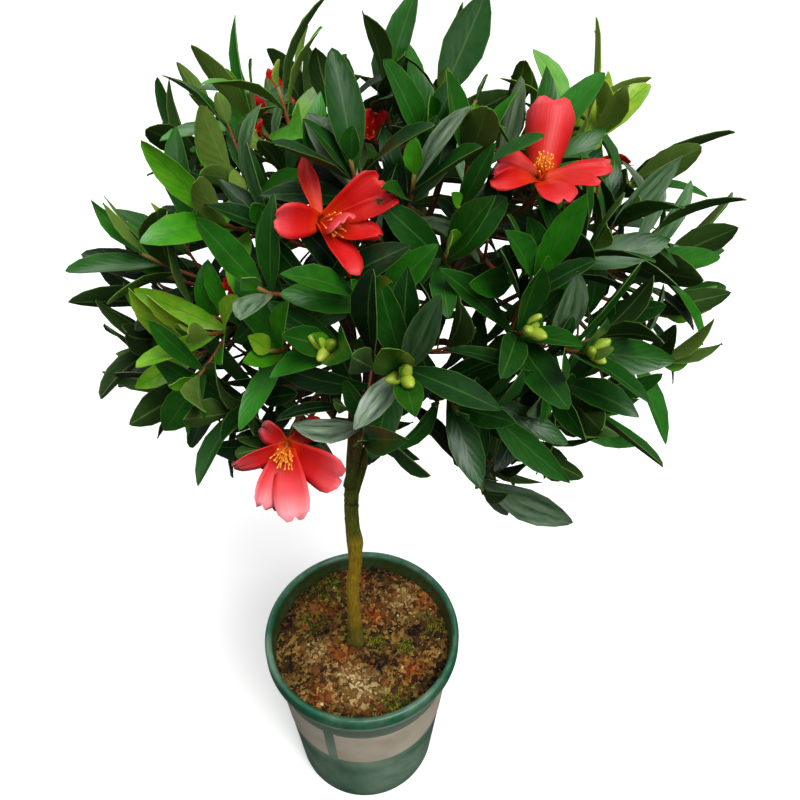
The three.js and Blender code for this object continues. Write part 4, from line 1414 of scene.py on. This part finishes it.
# %% [markdown]
# ## The rosettes
#
# One function plans a leaf at a place on a shoot. Its age in the rosette, from 0 for the youngest to 1,
# settles how far it leans out, how long it is, how much it droops and how dark it is. Chance then varies
# each of those a little. If the place is taken, the leaf tries again a little further round and more
# upright, up to five times, and otherwise stays out.

# %% Plan one leaf
LEAF_LENGTH = 74
SUNNY_SIZE = 0.88  # how large a leaf is on the side that gets most light, the front
LEAF_WIDTHS = (0.24, 0.38)
YOUNG_LEAN, OLD_LEAN = 12, 66
YOUNG_SIZE = 0.32
YOUNG_WIDTH = 1.8  # how much broader for its length the youngest leaf is
GROWN_AT = 0.2
LIFT = (0.55, 0.26)  # how strongly a leaf's stalk turns up, when young and when old
FACE_UP = 0.25  # how strongly its upper face turns to the sky
ROLL = 34  # degrees that it may turn about its own length
PAINTED_SHEEN_RANGE = (-9, 0.8)  # the range of painted sheen on a leaf, and below 0 it has none


def plan_leaf(line, seed, index, share, age, painted_light, attempt, scale=1.0):
    """One leaf at a share of a shoot's length."""
    lean = mix(YOUNG_LEAN, OLD_LEAN, age) + vary(-18, 18, seed, 4, index) - 4 * attempt
    swing = 13 * (attempt if attempt % 2 else -attempt)
    turn = GOLDEN_TURN * index + 360 * chance(seed, 3) + swing
    axis = line.tangent(share)
    direction = fanned(axis, max(lean, YOUNG_LEAN * 0.7), turn)
    direction = (direction + UP * mix(*LIFT, age)).normalized()
    facing = axis + UP * FACE_UP
    normal = (facing - direction * facing.dot(direction)).normalized()
    normal = Matrix.Rotation(math.radians(vary(-ROLL, ROLL, seed, 15, index)), 3, direction) @ normal
    size = mix(YOUNG_SIZE, 1, min(1, age / GROWN_AT)) * (1 - 0.04 * attempt) * scale
    size *= mix(1, SUNNY_SIZE, max(0, -axis.y))
    length = LEAF_LENGTH * size * vary(0.78, 1.14, seed, 5, index)
    light = painted_light + mix(0.25, -0.06, min(1, age * 2.5))
    return {
        "base": line.at(share), "direction": direction, "normal": normal, "side": direction.cross(normal),
        "length": length,
        "width": length * vary(*LEAF_WIDTHS, seed, 6, index) * mix(YOUNG_WIDTH, 1, min(1, age / GROWN_AT)),
        "bend": math.radians(mix(-8, 38, age) + vary(-24, 26, seed, 7, index)),
        "fold": mix(0.46, 0.24, age) + vary(-0.08, 0.12, seed, 8, index),
        "twist": math.radians(vary(-22, 22, seed, 9, index)),
        "wave": vary(0.2, 0.9, seed, 10, index), "tip": vary(*TIPS, seed, 16, index),
        "seed": 6 * chance(seed, 11, index),
        "wax_and_painted_sheen": max(0, vary(*PAINTED_SHEEN_RANGE, seed, 13, index)) if age > GROWN_AT else 0,
        "tint": min(1, max(0, light + vary(-0.13, 0.13, seed, 12, index))),
    }


ROSETTE_TOP = 1.0  # how far below a shoot's tip its youngest leaf stands
ROSETTE_STEP = 4.2  # and each older leaf below the last
leaves = []
leafy = {}  # by shoot: how far along it its outermost leaf or side shoot is


def note_growth(line, share):
    leafy[line] = max(leafy.get(line, 0), share)
    if line in parents:
        note_growth(*parents[line])


def try_leaf(line, seed, index, share, age, painted_light, scale=1.0):
    """Keeps the first attempt that stays in the crown and crosses nothing."""
    for attempt in range(ATTEMPTS):
        leaf = plan_leaf(line, seed, index, share, age, painted_light, attempt, scale)
        if not all(is_free(leaf_point(leaf, 0, t)) for t in (0.3, 0.5, 0.65, 0.85, 1)):
            continue
        middle, tree = leaf_point(leaf, 0, 0.5), blade_tree(lambda a, t: leaf_point(leaf, a, t))
        if not crosses(middle, tree):
            keep(middle, tree)
            leaves.append(leaf)
            note_growth(line, share)
            return


def grow_rosette(line, seed, count, painted_light, scale=1.0):
    """A rosette at a shoot's tip, its youngest leaf first."""
    for index in range(count):
        share = 1 - (ROSETTE_TOP + ROSETTE_STEP * index) / line.length
        if share > 0.05:
            try_leaf(line, seed, index, share, index / (count - 1), painted_light, scale)

# %% Grow the leaves
MAIN_LEAVES, SIDE_LEAVES = 9, 4  # how many leaves a rosette may have
OLD_LEAVES = (44, 60)  # how far below the tip of a main shoot its last two leaves stand
WOOD_BEYOND = 2.5

for line, seed, painted_light in main_shoots:
    grow_rosette(line, seed, MAIN_LEAVES, painted_light)
for line, seed, painted_light in side_shoots:
    # Side shoots stand within the crown, so their leaves are painted darker: painted shade.
    grow_rosette(line, seed, SIDE_LEAVES, painted_light - 0.2, scale=0.92)
for line, seed, painted_light in main_shoots:
    for index, down in enumerate(OLD_LEAVES):
        if down < line.length:
            # The old leaves low on a shoot are darker, partly with age and partly with painted shade.
            try_leaf(line, seed, 12 + index, 1 - down / line.length, 1, painted_light - 0.15)
bearers = {line for line, seed, painted_light in main_shoots + side_shoots}


def wood_end(line):
    """The share of a twig's length that is drawn: to just beyond its outermost leaf."""
    if line not in bearers:
        return 1
    return min(1, leafy[line] + WOOD_BEYOND / line.length) if line in leafy else 0


print(len(leaves), "leaves")

# %% [markdown]
# ## Leaf and twig finishes
#
# The upper face has a waxy cuticle over dark green: a clear gloss that breaks up along faint side veins, a
# pale midrib and a thin pale line round the edge, which is the translucent margin seen on every leaf of
# this plant. On some grown leaves a grey sheen is painted into the colour in streaks along the blade: a
# painted reflection of the pale sky in their gloss. The underside is a dull grey-green. Young leaves are
# brighter and yellower. The grid's own UV map runs across and along each leaf, so midrib, veins, margin
# and painted sheen follow the blade however it bends, and each leaf's tint, with its painted light and
# shade, and its sheen are attributes.

# %% Waxy upper side and dull underside
LEAF_STOPS = [
    (0.0, "#07190a"), (0.25, "#0d330b"), (0.5, "#1a510e"), (0.72, "#267a0a"), (0.88, "#549614"),
    (1.0, "#90ae28")]
# The grey of the painted sheen: the sky's reflection on glossy leaves, painted into the colour.
PAINTED_SHEEN = "#b4c8ae"


def leaf_material(name, stops, midrib, margin, roughness, coat, vein_depth):
    """A leaf's side, drawn across its width and along its length."""
    material, tree = new_material(name)
    uv = add_node(tree, "UVMap", uv_map="UVMap")
    split = add_node(tree, "SeparateXYZ", {"Vector": uv})
    tint = add_node(tree, "Attribute", attribute_name="tint").outputs["Fac"]
    place = add_node(tree, "TexCoord").outputs["Object"]
    mottle = add_node(tree, "TexNoise", {"Vector": place, "Scale": 120.0, "Detail": 4.0})
    toned = add_node(tree, "Math", {0: mottle, 1: 0.22, 2: tint}, operation="MULTIPLY_ADD")
    centred = add_node(tree, "Math", {0: toned, 1: 0.11}, operation="SUBTRACT")
    blade = add_node(tree, "ValToRGB", {"Fac": centred}, stops)
    # Painted sheen: grey streaks along some blades stand for the sky reflected in their gloss.
    sheen_amount = add_node(tree, "Attribute", attribute_name="wax_and_painted_sheen").outputs["Fac"]
    brushed = add_node(tree, "Mapping", {"Vector": uv, "Scale": (4.5, 2.6, 1)})
    strokes = add_node(tree, "TexNoise", {"Vector": brushed, "Scale": 1.0, "Detail": 4.0})
    stroke_mask = add_node(tree, "MapRange", {"Value": strokes, "From Min": 0.3, "From Max": 0.7})
    sheen_mask = add_node(tree, "Math", {0: stroke_mask, 1: sheen_amount}, operation="MULTIPLY")
    sheened = add_node(tree, "Mix", {"Factor": sheen_mask, "A": blade, "B": linear(PAINTED_SHEEN)}, data_type="RGBA")
    off_middle = add_node(tree, "Math", {0: split.outputs["X"], 1: 0.5}, operation="SUBTRACT")
    out = add_node(tree, "Math", {0: off_middle}, operation="ABSOLUTE")
    rib = add_node(tree, "MapRange", {"Value": out, "From Min": 0.04, "From Max": 0.012, "To Max": 0.6})
    edge = add_node(tree, "MapRange", {"Value": out, "From Min": 0.47, "From Max": 0.498, "To Max": 0.38})
    ribbed = add_node(tree, "Mix", {"Factor": rib, "A": sheened, "B": linear(midrib)}, data_type="RGBA")
    edged = add_node(tree, "Mix", {"Factor": edge, "A": ribbed, "B": linear(margin)}, data_type="RGBA")
    slant = add_node(tree, "Math", {0: out, 1: -0.55, 2: split.outputs["Y"]}, operation="MULTIPLY_ADD")
    lanes = add_node(tree, "Math", {0: slant, 1: 62.0}, operation="MULTIPLY")
    veins = add_node(tree, "Math", {0: lanes}, operation="SINE")
    hills = add_node(tree, "Math", {0: veins, 1: 0.35, 2: mottle}, operation="MULTIPLY_ADD")
    relief = add_node(tree, "Bump", {"Height": hills, "Strength": vein_depth, "Distance": 0.0012})
    wax_and_painted_sheen = add_node(
        tree, "MapRange", {"Value": mottle, "From Min": 0.3, "From Max": 0.75, "To Min": roughness - 0.06,
        "To Max": roughness + 0.1})
    shade(
        tree, Base_Color=edged, Roughness=wax_and_painted_sheen, IOR=1.33, Coat_Weight=coat, Coat_Roughness=0.18,
        Normal=relief)
    return material


leaf_upper = leaf_material(
    "waxy_camellia_leaf", LEAF_STOPS, "#3f6a2a", "#7f9c4a", roughness=0.36, coat=0.06, vein_depth=0.1)
leaf_under = leaf_material(
    "dull_leaf_underside", [(0.0, "#1c3512"), (0.5, "#3a5a20"), (1.0, "#7f9a3c")], "#7f9a50", "#8aa052",
    roughness=0.6, coat=0.0, vein_depth=0.12)

# %% Young wood and old wood
young_wood, tree = new_material("young_camellia_twig")
tint = add_node(tree, "Attribute", attribute_name="tint").outputs["Fac"]
place = add_node(tree, "TexCoord").outputs["Object"]
specks = add_node(tree, "TexNoise", {"Vector": place, "Scale": 520.0, "Detail": 5.0})
youth = add_node(tree, "Math", {0: specks, 1: 0.3, 2: tint}, operation="MULTIPLY_ADD")
wood_colour = add_node(
    tree, "ValToRGB", {"Fac": youth}, [(0.15, "#3f3423"), (0.45, "#5a3c22"), (0.75, "#85431f"),
    (0.95, "#94502a"), (1.0, "#7d6a2c")])
wood_relief = add_node(tree, "Bump", {"Height": specks, "Strength": 0.5, "Distance": 0.0006})
shade(tree, Base_Color=wood_colour, Roughness=0.6, Normal=wood_relief)

# %% Turn the plan into leaves
def add_leaf(bm, template, leaf):
    fresh = fresh_copy(bm, template)
    tint, wax_and_painted_sheen = (bm.verts.layers.float[name] for name in ("tint", "wax_and_painted_sheen"))
    for vert in fresh:
        vert.co = leaf_point(leaf, vert.co.x, vert.co.y, vert.co.z * LEAF_THICKNESS)
        vert[tint], vert[wax_and_painted_sheen] = leaf["tint"], leaf["wax_and_painted_sheen"]


flat_leaf = template_of(make_leaf)
bm = tinted_bmesh()
bm.verts.layers.float.new("wax_and_painted_sheen")
bm.loops.layers.uv.new("UVMap")
for leaf in leaves:
    add_leaf(bm, flat_leaf, leaf)
as_piece("leaves", bm, [leaf_upper, leaf_under], foliage_nodes)

# %% [markdown]
# A petal's colour runs from orange-red at the foot to a paler pink end, with fine veins along it, and light
# glows through it a little. Filaments are orange and the anthers golden with dust.

# %% Petals, stamens and buds
petal_skin, tree = new_material("satin_camellia_petal")
uv = add_node(tree, "UVMap", uv_map="UVMap")
split = add_node(tree, "SeparateXYZ", {"Vector": uv})
tint = add_node(tree, "Attribute", attribute_name="tint").outputs["Fac"]
fading = add_node(tree, "Math", {0: tint, 1: 0.75, 2: 0.32}, operation="MULTIPLY_ADD")
reach = add_node(tree, "Math", {0: split.outputs["Y"], 1: fading}, operation="MULTIPLY")
petal_colour = add_node(
    tree, "ValToRGB", {"Fac": reach}, [(0.0, "#e2500c"), (0.08, "#d23208"), (0.2, "#c4140a"),
    (0.42, "#cc1a1c"), (0.68, "#e2484e"), (0.95, "#f08a90")])
fine = add_node(tree, "Mapping", {"Vector": uv, "Scale": (46, 1.6, 1)})
veining = add_node(tree, "TexNoise", {"Vector": fine, "Scale": 1.0, "Detail": 3.0})
veined = add_node(
    tree, "MapRange", {"Value": veining, "From Min": 0.3, "From Max": 0.7, "To Min": 0.9, "To Max": 1.06})
petal_lit = add_node(tree, "HueSaturation", {"Color": petal_colour, "Value": veined})
petal_relief = add_node(tree, "Bump", {"Height": veining, "Strength": 0.35, "Distance": 0.0008})
shade(
    tree, Base_Color=petal_lit, Roughness=0.45, IOR=1.36, Subsurface_Weight=0.15,
    Subsurface_Radius=(0.004, 0.0015, 0.001), Subsurface_Scale=1.0, Normal=petal_relief)

stamen_dust, tree = new_material("orange_stamens_and_golden_anthers")
tint = add_node(tree, "Attribute", attribute_name="tint").outputs["Fac"]
gold = add_node(
    tree, "ValToRGB", {"Fac": tint}, [(0.0, "#e8641a"), (0.5, "#f08a1c"), (0.8, "#f6b22a"),
    (1.0, "#f9cf52")])
shade(tree, Base_Color=gold, Roughness=0.7)

bud_scale, tree = new_material("yellow_green_bud_scales")
tint = add_node(tree, "Attribute", attribute_name="tint").outputs["Fac"]
place = add_node(tree, "TexCoord").outputs["Object"]
bloomy = add_node(tree, "TexNoise", {"Vector": place, "Scale": 380.0, "Detail": 3.0})
ripe = add_node(tree, "Math", {0: bloomy, 1: 0.3, 2: tint}, operation="MULTIPLY_ADD")
bud_colour = add_node(
    tree, "ValToRGB", {"Fac": ripe}, [(0.1, "#4f6a1e"), (0.45, "#86a02a"), (0.8, "#b5c441"),
    (1.0, "#d0d268")])
bud_relief = add_node(tree, "Bump", {"Height": bloomy, "Strength": 0.3, "Distance": 0.0008})
shade(tree, Base_Color=bud_colour, Roughness=0.42, Normal=bud_relief)

# %% Make the petals and stamens
STAMEN_COUNT = 42
STAMEN_LENGTH = (11, 19)
STAMEN_SPREAD = 24  # degrees
FILAMENT_RADIUS = 0.36
ANTHER_HALF = (0.62, 0.62, 1.15)


def pointing(place, way, size):
    """The matrix that sets a small mesh at a place, its Z along a way, at a size along each axis."""
    turn = way.to_track_quat("Z", "Y").to_matrix().to_4x4()
    return Matrix.Translation(place) @ turn @ Matrix.Diagonal((*size, 1))


def make_anther(bm):
    bmesh.ops.create_icosphere(bm, subdivisions=1, radius=1)


flat_petal = template_of(make_petal)
anther = template_of(make_anther)
hair_tube = make_tube(4, 3)
petal_bm, stamen_bm = tinted_bmesh(), tinted_bmesh()
petal_bm.loops.layers.uv.new("UVMap")
for number, (size, heart, facing, petals) in enumerate(blooms):
    for petal in petals:
        fresh = fresh_copy(petal_bm, flat_petal)
        layer = petal_bm.verts.layers.float["tint"]
        for vert in fresh:
            vert.co = petal_point(petal, vert.co.x, vert.co.y, vert.co.z * PETAL_THICKNESS)
            vert[layer] = petal["tint"]
    for i in range(STAMEN_COUNT):
        seed = 900 + number
        spread = STAMEN_SPREAD * math.sqrt(i / STAMEN_COUNT)
        way = fanned(facing, spread + vary(-3, 3, seed, 1, i), GOLDEN_TURN * i)
        east, north = across(facing)
        foot = heart + east * vary(-2, 2, seed, 2, i) + north * vary(-2, 2, seed, 3, i)
        end = foot + way * vary(*STAMEN_LENGTH, seed, 4, i) * size
        hair = bezier(foot, foot.lerp(end, 0.5) + facing * 1.2, end, steps=4)
        add_limb(
            stamen_bm, hair_tube, hair, 3, lambda share, angle, place: FILAMENT_RADIUS,
            lambda share: 0.45 * share)
        add_copy(stamen_bm, anther, pointing(end, way, ANTHER_HALF), vary(0.6, 1.0, seed, 5, i))
as_piece("petals", petal_bm, [petal_skin])
as_piece("stamens", stamen_bm, [stamen_dust])

# %% [markdown]
# ## Buds
#
# Next year's flower buds already sit in some of the rosettes, two to four together: plump, pointed and
# yellow-green, in overlapping scales. A ball with its upper half drawn to a point is close to the real
# form, and a shallow spiral of scale edges is pressed into it.

# %% Set the buds in the rosettes
# By mass, how many buds stand together at the end of a shoot.
BUDS = {
    "front": 3, "front_right": 3, "upper_side_right": 3, "right": 3, "upper_left": 2, "back": 2,
    "back_left": 3}
BUDDED_TWICE = ("front", "front_right", "right")  # the masses with buds on two of their shoots
BUD_LENGTH = 15
BUD_WIDTH = 8.6


def make_bud(bm):
    """A pointed bud of unit width and length, standing on its base."""
    bmesh.ops.create_uvsphere(bm, u_segments=12, v_segments=9, radius=0.5)
    for vert in bm.verts:
        t = vert.co.z + 0.5
        angle = math.atan2(vert.co.y, vert.co.x)
        scale = 1 - 0.5 * max(0, t - 0.45) + 0.05 * math.sin(2 * angle + 9 * t)
        vert.co.x *= scale
        vert.co.y *= scale
        vert.co.z = t


bud = template_of(make_bud)
bm = tinted_bmesh()
for line, seed, painted_light in main_shoots:
    mass = mass_of(seed)
    count = BUDS.get(mass, 0)
    if not count or seed % 100 > (1 if mass in BUDDED_TWICE else 0):
        continue
    for i in range(count):
        way = fanned(line.tangent(1), vary(22, 44, seed, 30, i), 360 * i / count + 90 * chance(seed, 31))
        size = vary(0.8, 1.1, seed, 32, i)
        shape = (BUD_WIDTH * size, BUD_WIDTH * size, BUD_LENGTH * size)
        foot = line.at(wood_end(line)) + way * 1.2
        add_copy(bm, bud, pointing(foot, way, shape), vary(0.25, 0.6, seed, 33, i))
as_piece("buds", bm, [bud_scale])

# %% Bend the twigs into wood
bm = tinted_bmesh()
for line, root_radius, tip_radius, root_youth, tip_youth in twigs:
    if not wood_end(line):
        continue
    line = Line([line.at(wood_end(line) * i / TWIG_STEPS) for i in range(TWIG_STEPS + 1)])
    add_limb(
        bm, twig_tube, line, TWIG_STEPS, twig_radius(root_radius, tip_radius, line.length),
        lambda share: mix(root_youth, tip_youth, share))
as_piece("twigs", bm, [young_wood])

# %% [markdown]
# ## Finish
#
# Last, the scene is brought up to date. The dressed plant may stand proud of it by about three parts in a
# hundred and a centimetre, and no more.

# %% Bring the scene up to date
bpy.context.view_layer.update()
